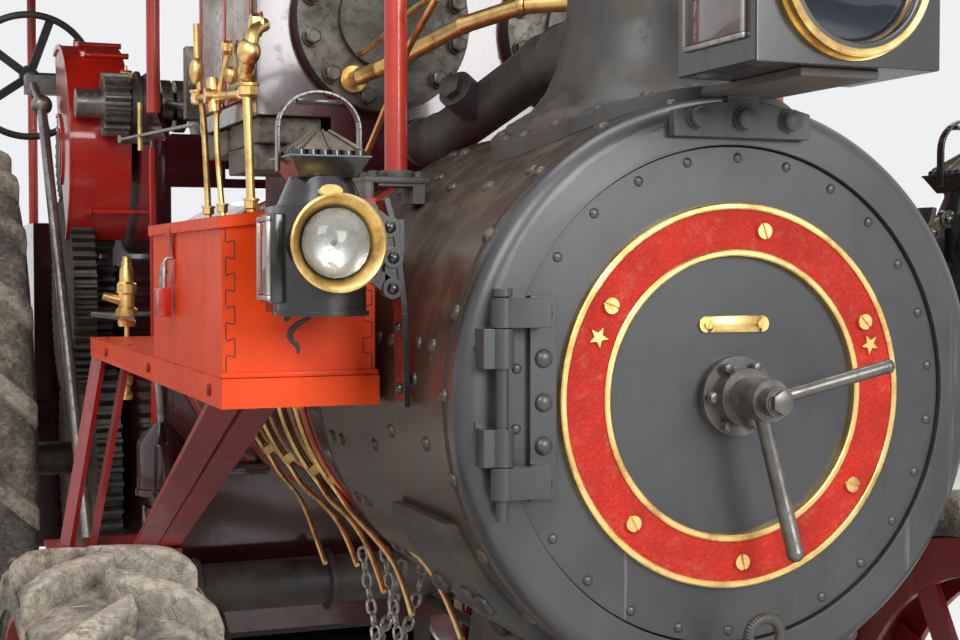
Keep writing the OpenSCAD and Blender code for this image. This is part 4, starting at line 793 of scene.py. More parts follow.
# Boiler: the lagged barrel and the round-topped firebox wear polished maroon sheets held by red bands.
# Each band is edged with a thin painted cream line; studs and stay heads show on the firebox's back.
maroon = gloss_paint("maroon gloss", (0.06, 0.005, 0.009), (0.032, 0.003, 0.005), (0.09, 0.06, 0.045), 0.25,
                     0.16, 0.0, 0.7)
cream = gloss_paint("cream lining", (0.62, 0.5, 0.32), (0.5, 0.38, 0.22), (0.12, 0.08, 0.05), 0.3, 0.3,
                    0.0, 0.3)
for node in ("boiler_barrel", "firebox", "backhead", "hornplates", "cylinder_block", "tender"):
    eased(node, maroon, 0.002)
eased("boiler_bands", red_enamel, 0.0008)
lining = bmesh.new()
barrel_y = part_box("boiler_barrel")[0].y
firebox_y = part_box("firebox")[0].y
block_low, block_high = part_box("cylinder_block")
for start, width in ((barrel_y + 0.004, 0.06), (barrel_y + 0.24, 0.038), (block_high.y + 0.15, 0.06),
                     (firebox_y - 0.07, 0.06)):
    for y in (start - 0.012, start + width + 0.008):
        turned(lining, [(0.3954, 0), (0.3962, 0), (0.3962, 0.0035), (0.3954, 0.0035)],
               (0, y + 0.0035, boiler.z), forward, 120)
stand(lining, "barrel_lining", cream, "engine")
stays = bmesh.new()
stay_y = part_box("firebox")[1].y + 0.0895
backward = (0, 1, 0)
for x in (-0.33, -0.24, 0.24, 0.33):
    for z in (0.78, 0.9, 1.02, 1.62):
        dome(stays, (x, stay_y, z), backward, 0.011)
for step in range(21):
    dome(stays, on_circle(10 + step * 8, 0.375, stay_y), backward, 0.009)
stand(stays, "backhead_stays", maroon, "engine")


# Cylinders: the block is lagged with planished sheet edged by a red line, and sits on grey timber packing.
# Its cast end covers are held by rings of studs and nuts, dull with oil and dust.
grey_iron = bare_steel("grey cast iron", (0.16, 0.15, 0.135), (0.08, 0.072, 0.062), 0.4)
for node in ("shaft_bearings", "cylinder_covers", "second_shaft", "third_shaft", "rear_axle", "governor"):
    eased(node, grey_iron, 0.0015)
cover_nuts = bmesh.new()
crank_z = 2.17
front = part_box("cylinder_covers")[0].y
for side in (-1, 1):
    for step in range(12):
        spot = on_circle(15 + step * 30, 0.155, front + 0.0145, side * 0.22, crank_z)
        hexagon(cover_nuts, spot, forward, 0.028, 0.02)
stand(cover_nuts, "cover_nuts", grey_iron, "engine")
sheet = bare_steel("planished lagging", (0.5, 0.44, 0.4), (0.34, 0.26, 0.22), 0.14)


def side_slabs(solid, near, far, low, high, edge=0.0):
    """The same flat block on both sides of the engine, between two distances from its middle."""
    for out in (-1, 1):
        x0, x1 = sorted((out * near, out * far))
        block(solid, (x0, *low), (x1, *high), edge)


lagging = bmesh.new()
side_x = block_high.x
sheet_low = Vector((block_low.y + 0.03, 2.02))
sheet_high = Vector((block_high.y - 0.03, 2.33))
side_slabs(lagging, side_x, side_x + 0.004, sheet_low, sheet_high, 0.0015)
stand(lagging, "cylinder_lagging", sheet, "engine")
trim = bmesh.new()
line = 0.012
for low, high in ((sheet_low, (sheet_high.x, sheet_low.y + line)),
                  ((sheet_low.x, sheet_high.y - line), sheet_high),
                  (sheet_low, (sheet_low.x + line, sheet_high.y)),
                  ((sheet_high.x - line, sheet_low.y), sheet_high),
                  ((sheet_low.x + 0.225, sheet_low.y), (sheet_low.x + 0.25, sheet_high.y))):
    side_slabs(trim, side_x + 0.0035, side_x + 0.0062, low, high, 0.0008)
stand(trim, "cylinder_lining", red_enamel, "engine")


def grey_timber():
    """Weathered packing timber: grey, open grained, stained with oil."""
    finish, coat = new_finish("grey timber")
    grain = coat.noise(60, 6, 0.7, (1, 0.05, 1))
    cloud = coat.noise(7, 5, 0.6, None, 2.2)
    tint = grain.step(0.35, 0.7).blend((0.22, 0.2, 0.175), (0.09, 0.078, 0.065))
    tint = (cloud.step(0.5, 0.75) * 0.6).blend(tint, (0.05, 0.035, 0.025))
    return settle(finish, coat, tint, 0.75 + cloud * 0.1, 0.0, grain, 0.5, 0.002)


timber = bmesh.new()
for low, high, z0, z1 in ((-1.27, -1.02, 1.93, 1.98), (-1.24, -1.0, 1.878, 1.928),
                          (-0.98, -0.78, 1.925, 1.978)):
    side_slabs(timber, 0.335, 0.462, (low, z0), (high, z1), 0.004)
stand(timber, "packing_timbers", grey_timber(), "engine")
eased("safety_valves", brass, 0.0015)


# Oil pipes: five thin brass pipes leave the block, wrap the barrel and run forward and down below it.
# They are bent from soft pipe and held to the lagging by small brass clips.
oil_runs = []
clips = bmesh.new()
tails = ((-0.749, (-0.8, 1.207), (-0.962, 1.186), (-1.06, 1.138), (-1.161, 1.074)),
         (-0.929, (-0.99, 1.207), (-1.162, 1.195), (-1.306, 1.166), (-1.387, 1.111)),
         (-1.139, (-1.2, 1.208), (-1.341, 1.197), (-1.483, 1.153), (-1.555, 1.092)),
         (-1.279, (-1.34, 1.208), (-1.544, 1.177), (-1.658, 1.143), (-1.712, 1.083)),
         (-1.489, (-1.54, 1.21), (-1.648, 1.203), (-1.854, 1.179), (-1.956, 1.095)))
for y, *tail in tails:
    run = [on_drum(angle, y, 0.4025)[0] for angle in range(142, 223, 6)]
    if y < block_low.y - 0.1:
        run = [(-0.34, block_low.y + 0.02, 1.86), (-0.36, block_low.y - 0.1, 1.84),
               (-0.352, y + 0.02, 1.78)] + run
    run += [(-0.3, along, height) for along, height in tail]
    oil_runs.append((run, 0.0055))
    for angle in (160, 192, 216):
        spot, way = on_drum(angle, y, 0.4)
        flat(clips, spot - Vector((0, 0.016, 0)), spot + Vector((0, 0.016, 0)), 0.012, 0.02, way)
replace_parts(bent("oil_pipe_runs", oil_runs, brass, "engine", "brass"), "oil_pipes")
stand(clips, "oil_pipe_clips", brass, "engine")


# Motion: bright rods, crossheads, cranks and valve gear between the plates, and the long steering shaft.
# They are forged and machined steel, wet with oil. The gauges on the back of the firebox are brass.
bright = bare_steel("bright steel", (0.36, 0.35, 0.33), (0.2, 0.19, 0.17), 0.22)
for node in ("slide_bars", "crossheads", "connecting_rods", "crankshaft", "valve_gear", "steering_shaft"):
    eased(node, bright, 0.0015)
eased("backhead_fittings", brass, 0.001)


# Plates: maroon side plates with an angle iron down the front edge that carries a thin red line.
# They are of rolled plate, riveted to the firebox, and the bearings are bolted to them in rings of six.
plates = bmesh.new()
plate_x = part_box("hornplates")[1].x
for out in (-1, 1):
    for z in range(22):
        dome(plates, (out * plate_x, firebox_y + 0.026, 0.98 + z * 0.05), (out, 0, 0), 0.008)
    for z in range(14):
        dome(plates, (out * plate_x, 0.75, 0.8 + z * 0.055), (out, 0, 0), 0.008)
    for y, z, r in ((0.6, 2.17, 0.09), (0.835, 2.046, 0.078), (0.835, 1.596, 0.082), (1.131, 1.04, 0.108)):
        for step in range(6):
            angle = math.radians(step * 60 + 30)
            hexagon(plates, (out * (plate_x + 0.0118), y + r * math.cos(angle), z + r * math.sin(angle)),
                    (out, 0, 0), 0.022, 0.014)
stand(plates, "plate_rivets", maroon, "engine")
edging = bmesh.new()
side_slabs(edging, plate_x - 0.001, plate_x + 0.042, (firebox_y - 0.006, 0.98), (firebox_y + 0.006, 2.03),
           0.0015)
stand(edging, "plate_angle_iron", maroon, "engine", edge=0.001)
red_line = bmesh.new()
side_slabs(red_line, plate_x + 0.03, plate_x + 0.044, (firebox_y - 0.0072, 1.0), (firebox_y - 0.0055, 2.01),
           0.0004)
stand(red_line, "plate_red_line", red_enamel, "engine")


# Gear guard: a red casing round the front and top of the second shaft's gears, which keeps hands out of them.
# It is of sheet iron with rolled rims, and stands off the side plate on three bolted stays.
guard_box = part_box("gear_guard")
guard_mid = Vector((0, 0.8352, 2.0463))
guard_r = guard_box[1].z - guard_mid.z - 0.004
guard_x = guard_box[0].x


def swept(solid, outline, middle, start, sweep, steps=48):
    """A band swung about an axis along X, from an outline of (x, radius) points."""
    ends = []
    for x, radius in outline:
        turn = Vector((0, math.cos(math.radians(start)), math.sin(math.radians(start)))) * radius
        ends.append(solid.verts.new(middle + turn + Vector((x, 0, 0))))
    rims = [solid.edges.new((ends[i], ends[(i + 1) % len(ends)])) for i in range(len(ends))]
    first = solid.faces.new(ends)
    bmesh.ops.spin(solid, geom=ends + rims + [first], cent=middle, axis=(1, 0, 0),
                   angle=math.radians(sweep), steps=steps)
    bmesh.ops.recalc_face_normals(solid, faces=solid.faces)


guard = bmesh.new()
band = [(guard_x, guard_r - 0.004), (guard_x, guard_r), (guard_x + 0.176, guard_r),
        (guard_x + 0.176, guard_r - 0.004)]
swept(guard, band, guard_mid, 75, 160)
cheek = [(guard_x, 0.075), (guard_x, guard_r - 0.002), (guard_x + 0.004, guard_r - 0.002),
         (guard_x + 0.004, 0.075)]
swept(guard, cheek, guard_mid, 75, 160)
for low, high in ((guard_r - 0.012, guard_r + 0.003), (0.118, 0.126), (0.072, 0.08)):
    rim_outline = [(guard_x - 0.006, low), (guard_x - 0.006, high), (guard_x + 0.002, high),
                   (guard_x + 0.002, low)]
    swept(guard, rim_outline, guard_mid, 75, 160)
for angle in (95, 122, 214):
    way = Vector((0, math.cos(math.radians(angle)), math.sin(math.radians(angle))))
    spot = guard_mid + way * (guard_r + 0.006)
    rod(guard, (guard_x + 0.05, spot.y, spot.z), (-plate_x + 0.002, spot.y, spot.z), 0.009, 14)
    hexagon(guard, (guard_x + 0.06, spot.y, spot.z), (-1, 0, 0), 0.026, 0.016)
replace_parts(stand(guard, "gear_casing", red_enamel, "engine", 30, 0.0008), "gear_guard")
cups = bmesh.new()
upward = (0, 0, 1)
for y, z in ((0.6, 2.262), (0.835, 2.262)):
    cup = [(0.0, 0.0), (0.008, 0.0), (0.009, 0.02), (0.02, 0.026), (0.022, 0.05), (0.018, 0.056),
           (0.006, 0.058), (0.005, 0.07), (0.0, 0.072)]
    turned(cups, cup, (-plate_x - 0.014, y, z - 0.03), upward, 28)
rod(cups, (-0.53, -0.28, 1.98), (-0.53, -0.28, 2.1), 0.006)
stand(cups, "brass_oil_cups", brass, "engine")
linkage = bmesh.new()
flat(linkage, (-0.53, 0.0, 2.03), (-0.53, -1.0, 1.985), 0.006, 0.012)
rod(linkage, (-0.45, 0.03, 2.03), (-0.54, 0.0, 2.03), 0.011)
stand(linkage, "drain_linkage", bright, "engine")


# Feed pump: an air vessel on its valve box, on a bracket under the barrel, with a steel delivery pipe.
# It is of cast iron, painted with the boiler, and its flange is bolted down.
pump = bmesh.new()
px, py, pz = -0.485, -0.3, 1.12
vessel = [(0.0, 0.0), (0.05, 0.0), (0.062, 0.008), (0.062, 0.118), (0.056, 0.13), (0.03, 0.16),
          (0.02, 0.172), (0.0, 0.174)]
flange_plate = [(0.0, -0.01), (0.066, -0.01), (0.066, 0.006), (0.0, 0.006)]
for outline in (vessel, flange_plate):
    turned(pump, outline, (px, py, pz), upward, 48)
rod(pump, (px, py, pz - 0.045), (px, py, pz), 0.03, 28)
block(pump, (px - 0.044, py - 0.04, pz - 0.105), (px + 0.044, py + 0.04, pz - 0.04), 0.006)
block(pump, (px, py - 0.026, pz + 0.03), (-0.21, py + 0.026, pz + 0.062), 0.003)
for step in range(6):
    angle = math.radians(step * 60)
    stud = (px + 0.055 * math.cos(angle), py + 0.055 * math.sin(angle), pz + 0.006)
    hexagon(pump, stud, upward, 0.014, 0.01)
stand(pump, "feed_pump", maroon, "engine", 34, 0.0008)
delivery = [(px, py, pz + 0.17), (px - 0.004, py - 0.008, pz + 0.24), (px - 0.014, py - 0.02, pz + 0.3),
            (px + 0.02, py - 0.02, pz + 0.36), (-0.388, py - 0.02, pz + 0.36)]
bent("pump_delivery", [(delivery, 0.012)], bright, "engine", "bright_steel")


# Drain cocks: a brass cock stands behind the plank, with a string of fittings under it and a steel lever.
# They are turned from brass bar and screwed together.
cocks = bmesh.new()
cock_x, cock_y = -0.6, -0.5
cock = [(0.0, 0.0), (0.02, 0.0), (0.022, 0.012), (0.016, 0.018), (0.026, 0.026), (0.026, 0.04),
        (0.019, 0.046), (0.019, 0.075), (0.023, 0.08), (0.023, 0.1), (0.017, 0.106), (0.016, 0.136),
        (0.012, 0.142), (0.012, 0.152), (0.009, 0.158), (0.009, 0.166), (0.0, 0.168)]
turned(cocks, cock, (cock_x, cock_y, 1.545), upward, 36)
rod(cocks, (cock_x, cock_y, 1.602), (-0.655, cock_y, 1.618), 0.012, 20, 0.009)
string = [(0.0, 0.0), (0.012, 0.0), (0.014, 0.012), (0.009, 0.018), (0.009, 0.034), (0.014, 0.04),
          (0.014, 0.056), (0.009, 0.062), (0.009, 0.08), (0.015, 0.086), (0.015, 0.1), (0.0, 0.102)]
turned(cocks, string, (cock_x, cock_y, 1.37), upward, 28)
rod(cocks, (cock_x, cock_y, 1.37), (cock_x, cock_y, 1.55), 0.006, 16)
stand(cocks, "drain_cocks", brass, "engine")
lever = bmesh.new()
rod(lever, (cock_x, 0.1, 1.556), (cock_x, -0.56, 1.566), 0.007, 16)
rod(lever, (cock_x, 0.1, 1.556), (-0.418, 0.1, 1.556), 0.007, 16)
rod(lever, (cock_x, cock_y, 1.45), (-0.39, cock_y, 1.45), 0.006, 14)
stand(lever, "drain_lever", bright, "engine")


# Boards: the toolbox and the planks beside the boiler are of wood, painted orange-red and scuffed.
# The box has dovetailed front corners, a hasp with a red padlock, and a plain black scroll in front.
def scuffed_boards(name, base, dark, wood, along):
    """Painted boards: long grain showing through, dents, and paint rubbed down to the wood on every edge."""
    finish, coat = new_finish(name)
    stretch = [1.0, 1.0, 1.0]
    stretch[along] = 0.06
    grain = coat.noise(55, 6, 0.65, tuple(stretch))
    cloud = coat.noise(5, 5, 0.6, None, 2.0)
    scuffs = coat.noise(60, 6, 0.75, (1, 0.25, 1), 6.0).step(0.68, 0.73)
    grime = coat.noise(11, 7, 0.7, None, 3.0).step(0.54, 0.78)
    worn = coat.edges(0.005) * coat.noise(30, 5, 0.7, None, 4.0).step(0.42, 0.56)
    tint = (cloud.step(0.3, 0.7) * 0.7).blend(base, dark)
    tint = (grain.step(0.5, 0.8) * 0.35).blend(tint, dark)
    tint = (grime * 0.3).blend(tint, [c * 0.3 + 0.01 for c in base])
    tint = (worn * 0.85 + scuffs * 0.5).blend(tint, wood)
    return settle(finish, coat, tint, 0.42 + cloud * 0.12 + worn * 0.3 + grime * 0.2, 0.0,
                  grain * 0.6 - scuffs * 0.5 - worn * 0.5, 0.35, 0.0015, 0.08, IOR=1.33)


orange_boards = scuffed_boards("orange boards", (0.8, 0.062, 0.003), (0.62, 0.038, 0.002),
                               (0.1, 0.045, 0.025), 1)
canopy_boards = scuffed_boards("maroon boards", (0.1, 0.01, 0.012), (0.06, 0.006, 0.008),
                               (0.14, 0.08, 0.05), 1)


def recoat(piece, finish, picks):
    """Gives a second finish to the faces that a test picks by their middle and direction."""
    piece.data.materials.append(finish)
    for face in piece.data.polygons:
        if picks(face.center, face.normal):
            face.material_index = len(piece.data.materials) - 1


for node in ("toolbox", "toolbox_lid"):
    eased(node, orange_boards, 0.0015)
strut_red = gloss_paint("strut red", (0.36, 0.012, 0.01), (0.2, 0.008, 0.007), (0.12, 0.06, 0.04), 0.4, 0.3,
                        0.0, 0.3)
recoat(eased("footboards", orange_boards, 0.0015), strut_red, lambda middle, way: middle.z < 1.4765)
dark_groove = worn_black("dark joint lines", (0.05, 0.012, 0.008), (0.07, 0.02, 0.01), (0.1, 0.04, 0.03),
                         0.0, 0.6)
tool_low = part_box("toolbox")[0]
joints = bmesh.new()
for corner, way in ((tool_low.x, 1), (-0.45, -1)):
    base = 1.531
    for step in range(9):
        z = base + step * 0.0242
        deep = 0.019 if step % 2 else 0.0055
        x = corner + way * deep
        block(joints, (x - 0.0008, tool_low.y - 0.0006, z), (x + 0.0008, tool_low.y + 0.002, z + 0.0242))
        if step:
            a, b = sorted((corner + way * 0.0055, corner + way * 0.019))
            flat(joints, (a, tool_low.y + 0.0006, z + (0.0016 if step % 2 else -0.0016)),
                 (b, tool_low.y + 0.0006, z - (0.0016 if step % 2 else -0.0016)), 0.0024, 0.0015)
    block(joints, (corner + way * 0.01 - 0.009, tool_low.y - 0.0004, 1.523),
          (corner + way * 0.01 + 0.009, tool_low.y + 0.002, 1.5245))
stand(joints, "dovetail_lines", dark_groove, "engine")
scroll_black = gloss_paint("black scroll paint", (0.01, 0.009, 0.009), (0.015, 0.013, 0.012),
                           (0.08, 0.03, 0.02), 0.3, 0.35)
scroll = bmesh.new()
trace = [(-0.589, 1.609, 0.0045), (-0.584, 1.617, 0.006), (-0.574, 1.6215, 0.0055), (-0.562, 1.62, 0.0045),
         (-0.553, 1.6145, 0.0035), (-0.5535, 1.6105, 0.003), (-0.562, 1.606, 0.0035), (-0.573, 1.6, 0.0045),
         (-0.5815, 1.5925, 0.005), (-0.584, 1.584, 0.005), (-0.58, 1.576, 0.0045), (-0.5735, 1.57, 0.004),
         (-0.5705, 1.563, 0.003), (-0.572, 1.5565, 0.002)]
for (x0, z0, r0), (x1, z1, r1) in zip(trace, trace[1:]):
    rod(scroll, (x0, tool_low.y, z0), (x1, tool_low.y, z1), r0, 12, r1)
    bmesh.ops.create_uvsphere(scroll, u_segments=12, v_segments=8, radius=r0,
                              matrix=Matrix.Translation((x0, tool_low.y, z0)))
pressed = Matrix.Translation((0, tool_low.y, 0)) @ Matrix.Diagonal((1, 0.12, 1, 1))
bmesh.ops.transform(scroll, matrix=pressed @ Matrix.Translation((0, -tool_low.y, 0)), verts=scroll.verts)
stand(scroll, "scroll_ornament", scroll_black, "engine")
edge_rail = bmesh.new()
block(edge_rail, (tool_low.x - 0.004, tool_low.y - 0.004, 1.5225), (-0.446, tool_low.y + 0.006, 1.5305),
      0.0012)
stand(edge_rail, "toolbox_foot_rail", orange_boards, "engine")
hasp = bmesh.new()
flat(hasp, (tool_low.x - 0.009, -1.59, 1.752), (tool_low.x - 0.003, -1.59, 1.70), 0.03, 0.003)
for y in (-1.6, -1.58):
    dome(hasp, (tool_low.x - 0.0085, y, 1.745), (-1, 0, 0.1), 0.005)
block(hasp, (tool_low.x - 0.004, -1.612, 1.66), (tool_low.x + 0.001, -1.568, 1.7), 0.0015)
stand(hasp, "toolbox_hasp", red_enamel, "engine", edge=0.0005)
lock = bmesh.new()
block(lock, (tool_low.x - 0.03, -1.615, 1.602), (tool_low.x - 0.008, -1.567, 1.652), 0.004)
stand(lock, "red_padlock", red_enamel, "engine")
shackle_x = tool_low.x - 0.019
shackle = [(shackle_x, -1.606, 1.64), (shackle_x, -1.606, 1.68), (tool_low.x - 0.015, -1.591, 1.697),
           (shackle_x, -1.576, 1.68), (shackle_x, -1.576, 1.64)]
eye = [(tool_low.x - 0.012, -1.591, 1.676), (tool_low.x - 0.018, -1.591, 1.69),
       (tool_low.x - 0.012, -1.591, 1.704), (tool_low.x + 0.001, -1.591, 1.7)]
bent("padlock_shackle", [(shackle, 0.0042), (eye, 0.003)], tinned, "engine")
board_bolts = bmesh.new()
for side in (-1, 1):
    for y in (-0.95, -0.62):
        for x in (0.47, 0.665):
            dome(board_bolts, (side * x, y, 1.522), upward, 0.009, 0.4)
    for x, y, z in ((0.548, -0.709, 1.052), (0.6, -0.709, 1.052), (0.7, -0.619, 1.052),
                    (0.758, -0.619, 1.052)):
        hexagon(board_bolts, (side * x, y + 0.02, z), upward, 0.018, 0.01)
    for step in range(3):
        hexagon(board_bolts, (side * 0.69, -1.9 + step * 0.55, 1.5), (side, 0, 0), 0.014, 0.005)
stand(board_bolts, "board_bolts", strut_red, "engine")
eased("canopy", canopy_boards, 0.002)


# Posts: red steel tubes that carry the canopy. The front pair stands on black forged feet on the drum.
# The feet are bent from flat bar and bolted, and a collar closes round each tube.
bright_red = gloss_paint("post red", (0.58, 0.045, 0.016), (0.42, 0.02, 0.01), (0.16, 0.06, 0.04), 0.35,
                         0.3, 0.0, 0.4)
posts = eased("canopy_posts", bright_red, 0.001)
recoat(posts, cast_black, lambda middle, way: middle.z < 1.8305 and middle.y < -1.7)
feet = bmesh.new()
block(feet, (-0.424, -1.842, 1.8225), (-0.312, -1.776, 1.833), 0.002)
block(feet, (-0.424, -1.842, 1.762), (-0.408, -1.776, 1.826), 0.002)
turned(feet, [(0.0195, 0.0), (0.03, 0.0), (0.03, 0.008), (0.026, 0.012), (0.0195, 0.012)],
       (-0.36, ring_y + 0.48, 1.833), upward, 40)
for x, y in ((-0.405, -1.83), (-0.405, -1.788), (-0.328, -1.83), (-0.328, -1.788)):
    hexagon(feet, (x, y, 1.833), upward, 0.016, 0.01)
flat(feet, (-0.418, -1.809, 1.766), (-0.445, -1.809, 1.68), 0.05, 0.01)
both_sides(feet)
stand(feet, "post_feet", cast_black, "engine", 34, 0.0006)


# Wheels, flywheel and axle: cast hubs, flat spokes and rolled rims, painted dark red and dusty.
# The spokes' feet are riveted inside the rims. The flywheel is cast in one and painted with the boiler.
wheel_red = gloss_paint("dusty dark red", (0.26, 0.012, 0.01), (0.15, 0.009, 0.008), (0.16, 0.11, 0.075),
                        0.75, 0.34, 0.2, 0.25)
for node in ("front_axle", "front_wheel_right", "front_wheel_left", "rear_wheel_right", "rear_wheel_left"):
    eased(node, wheel_red, 0.002)
wheel_sets = []
for end in ("front", "rear"):
    for side, out in (("right", -1), ("left", 1)):
        low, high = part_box("%s_wheel_%s" % (end, side))
        middle = (low + high) / 2
        wheel_sets.append((end, side, out, middle, (high.z - low.z) / 2, (high.x - low.x) / 2))
for end, side, out, middle, radius, half in wheel_sets:
    rivets = bmesh.new()
    count = 24 if end == "front" else 40
    for row in (-1, 1):
        for step in range(count):
            angle = math.tau * (step + 0.5 * (row > 0)) / count
            place = middle + Vector((row * half * 0.62, (radius - 0.0125) * math.cos(angle),
                                     (radius - 0.0125) * math.sin(angle)))
            dome(rivets, place, (0, -math.cos(angle), -math.sin(angle)), 0.011, 0.5)
    stand(rivets, "%s_rim_rivets_%s" % (end, side), wheel_red, "%s_wheel_%s" % (end, side))
eased("flywheel", maroon, 0.003)


# Tyres: pneumatic tractor tyres with two rows of slanted lugs that meet in a chevron, and side rings.
# They are of moulded rubber, worn round on the lug edges, and caked with dry clay, straw and crumbs.
def muddy_rubber(name, wet, dry, share):
    """Tractor tyre rubber: grey with age, caked with pale dry mud that has cracked and stuck with straw."""
    finish, coat = new_finish(name)
    cake = coat.noise(7, 8, 0.7).step(0.58 - share * 0.3, 0.68 - share * 0.2)
    crumbs = coat.noise(70, 6, 0.75, None, 2.0)
    cracks = coat.cells(46, "DISTANCE_TO_EDGE", 1.0).step(0.0, 0.05)
    straw = coat.noise(26, 3, 0.6, (1, 9, 9), 4.0).step(0.655, 0.69)
    blots = coat.noise(17, 6, 0.7, None, 5.0).step(0.56, 0.66)
    rubber = crumbs.step(0.3, 0.7).blend((0.05, 0.047, 0.043), (0.15, 0.135, 0.115))
    mud = crumbs.step(0.32, 0.7).blend(wet, dry)
    tint = (cake * (0.75 + crumbs * 0.3)).blend(rubber, mud)
    tint = ((1.0 - cracks) * cake * 0.3).blend(tint, (0.09, 0.07, 0.05))
    tint = (blots * 0.5).blend(tint, (0.055, 0.045, 0.035))
    tint = (straw * 0.75).blend(tint, (0.56, 0.5, 0.36))
    return settle(finish, coat, tint, 0.72 + cake * 0.2, 0.0,
                  cake * 0.9 + crumbs * 0.6 + cracks * cake * 0.15, 0.7, 0.006)


tread_mud = muddy_rubber("muddy tread", (0.26, 0.22, 0.165), (0.47, 0.42, 0.34), 0.75)
side_mud = muddy_rubber("muddy side wall", (0.2, 0.16, 0.12), (0.38, 0.33, 0.26), 0.45)


def join(solid, made, turns):
    """Adds a small finished shape to a large one, once for each turn."""
    scrap = bpy.data.meshes.new("scrap")
    made.to_mesh(scrap)
    made.free()
    for turn in turns:
        scrap.transform(turn)
        solid.from_mesh(scrap)
    bpy.data.meshes.remove(scrap)


def tread_lug(radius, half, row, start, wide, tall):
    """One moulded bar about the X axis, slanted, bowed round the tyre and drawn down over its shoulder."""
    made = bmesh.new()
    inner, outer = -0.014, half - 0.004
    block(made, (inner, -wide / 2, 0), (outer, wide / 2, tall + 0.012), 0.007)
    long_rims = [rim for rim in made.edges
                 if abs(rim.verts[0].co.x - rim.verts[1].co.x) > (outer - inner) * 0.6]
    bmesh.ops.subdivide_edges(made, edges=long_rims, cuts=5, use_grid_fill=True)
    for corner in made.verts:
        along, across, up = corner.co
        spread = 1 + 0.28 * (1 - up / (tall + 0.012))
        turn = start + (across * spread + 0.9 * (along - inner)) / radius
        shoulder = max(0.0, (along - (half - 0.05)) / 0.05)
        reach = radius - tall - 0.012 + up - 0.026 * shoulder * shoulder
        corner.co = Vector((row * along, reach * math.cos(turn), reach * math.sin(turn)))
    bmesh.ops.recalc_face_normals(made, faces=made.faces)
    return made


for end, side, out, middle, _, _ in wheel_sets:
    low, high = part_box("%s_tyre_%s" % (end, side))
    radius = (high.z - low.z) / 2 - 0.001
    half = (high.x - low.x) / 2
    rim = 0.545 if end == "front" else 0.905
    tall = 0.036 if end == "front" else 0.05
    count = 20 if end == "front" else 22
    wide = 0.05 if end == "front" else 0.062
    base = radius - tall
    tyre = bmesh.new()
    wall = [(rim + 0.002, -half + 0.03), (rim + 0.004, -half + 0.012), (rim + 0.012, -half + 0.006),
            (rim + 0.02, -half + 0.004), (rim + 0.024, -half), (rim + 0.034, -half),
            (rim + 0.038, -half + 0.005), (base - 0.05, -half + 0.002), (base - 0.026, -half + 0.008),
            (base - 0.012, -half + 0.022), (base - 0.003, -half + 0.05), (base, 0.0)]
    outline = wall + [(r, -x) for r, x in reversed(wall[:-1])] + [wall[0]]
    turned(tyre, outline, (0, 0, 0), (1, 0, 0), 120)
    for face in tyre.faces:
        face.material_index = 1
    for row in (-1, 1):
        start = math.pi / count if row > 0 else 0.0
        step = Matrix.Rotation(math.tau / count, 4, "X")
        join(tyre, tread_lug(radius, half, row, start, wide, tall), [step] * count)
    chance = random.Random(7 if out < 0 else 8)
    clumps = bmesh.new()
    for _ in range(60):
        angle = chance.uniform(0, math.tau)
        size = chance.uniform(0.006, 0.02)
        place = Vector((chance.uniform(-half + 0.05, half - 0.05), (base - 0.002) * math.cos(angle),
                        (base - 0.002) * math.sin(angle)))
        turn = aim(place, (0, math.cos(angle), math.sin(angle)))
        squash = Matrix.Diagonal((chance.uniform(0.8, 1.7), chance.uniform(0.6, 1.2), 0.5, 1))
        made = bmesh.ops.create_icosphere(clumps, subdivisions=2, radius=size, matrix=turn @ squash)
        for corner in made["verts"]:
            corner.co += Vector((chance.uniform(-1, 1), chance.uniform(-1, 1),
                                 chance.uniform(-1, 1))) * size * 0.12
    join(tyre, clumps, [Matrix.Identity(4)])
    bmesh.ops.translate(tyre, vec=middle, verts=tyre.verts)
    piece = stand(tyre, "%s_lugged_tyre_%s" % (end, side), [tread_mud, side_mud],
                  "%s_wheel_%s" % (end, side), 40)
    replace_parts(piece, "%s_tyre_%s" % (end, side))


# Front carriage: a cast perch bracket under the drum, steering chains and barrel, drawbar and hand wheel.
# A thick flange of plate wraps the drum's underside, held by domed bolts, and a towing pin stands in front.
greasy_black = worn_black("greasy cast iron", (0.03, 0.028, 0.026), (0.08, 0.05, 0.03), (0.16, 0.13, 0.1),
                          0.25, 0.3)
perch = eased("perch_bracket", greasy_black, 0.0015)
for node in ("drawbar", "steering_wheel", "chain_barrel", "steering_chains"):
    eased(node, greasy_black, 0.0015)
trimmed = bmesh.new()
trimmed.from_mesh(perch.data)
for place, way in (((0.2, 0, 0), (1, 0, 0)), ((-0.2, 0, 0), (1, 0, 0)), ((0, ring_y + 0.355, 0), backward),
                   ((0, 0, 1.0), upward)):
    everything = trimmed.verts[:] + trimmed.edges[:] + trimmed.faces[:]
    bmesh.ops.bisect_plane(trimmed, geom=everything, plane_co=place, plane_no=way)
middles = [(face, face.calc_center_median()) for face in trimmed.faces]
gone = [face for face, middle in middles
        if abs(middle.x) > 0.2 and middle.y > ring_y + 0.355 and middle.z > 1.0]
bmesh.ops.delete(trimmed, geom=gone, context="FACES")
bmesh.ops.holes_fill(trimmed, edges=[rim for rim in trimmed.edges if len(rim.link_faces) == 1], sides=0)
trimmed.to_mesh(perch.data)
trimmed.free()
flange_half = 0.375
flange = bmesh.new()
sides = bmesh.ops.create_grid(flange, x_segments=40, y_segments=22, size=0.5)
for corner in sides["verts"]:
    u, v = corner.co.x * 2, corner.co.y + 0.5
    y = ring_y + 0.03 + v * 0.33
    near = 0.0
    if y < ring_y + 0.14:
        near = 0.11 - math.sqrt(max(0.0, 0.11 ** 2 - (ring_y + 0.14 - y) ** 2))
    x = u * (flange_half - near)
    corner.co = Vector((x, y, boiler.z - math.sqrt(0.4335 ** 2 - x * x)))
bmesh.ops.solidify(flange, geom=flange.faces[:], thickness=-0.022)
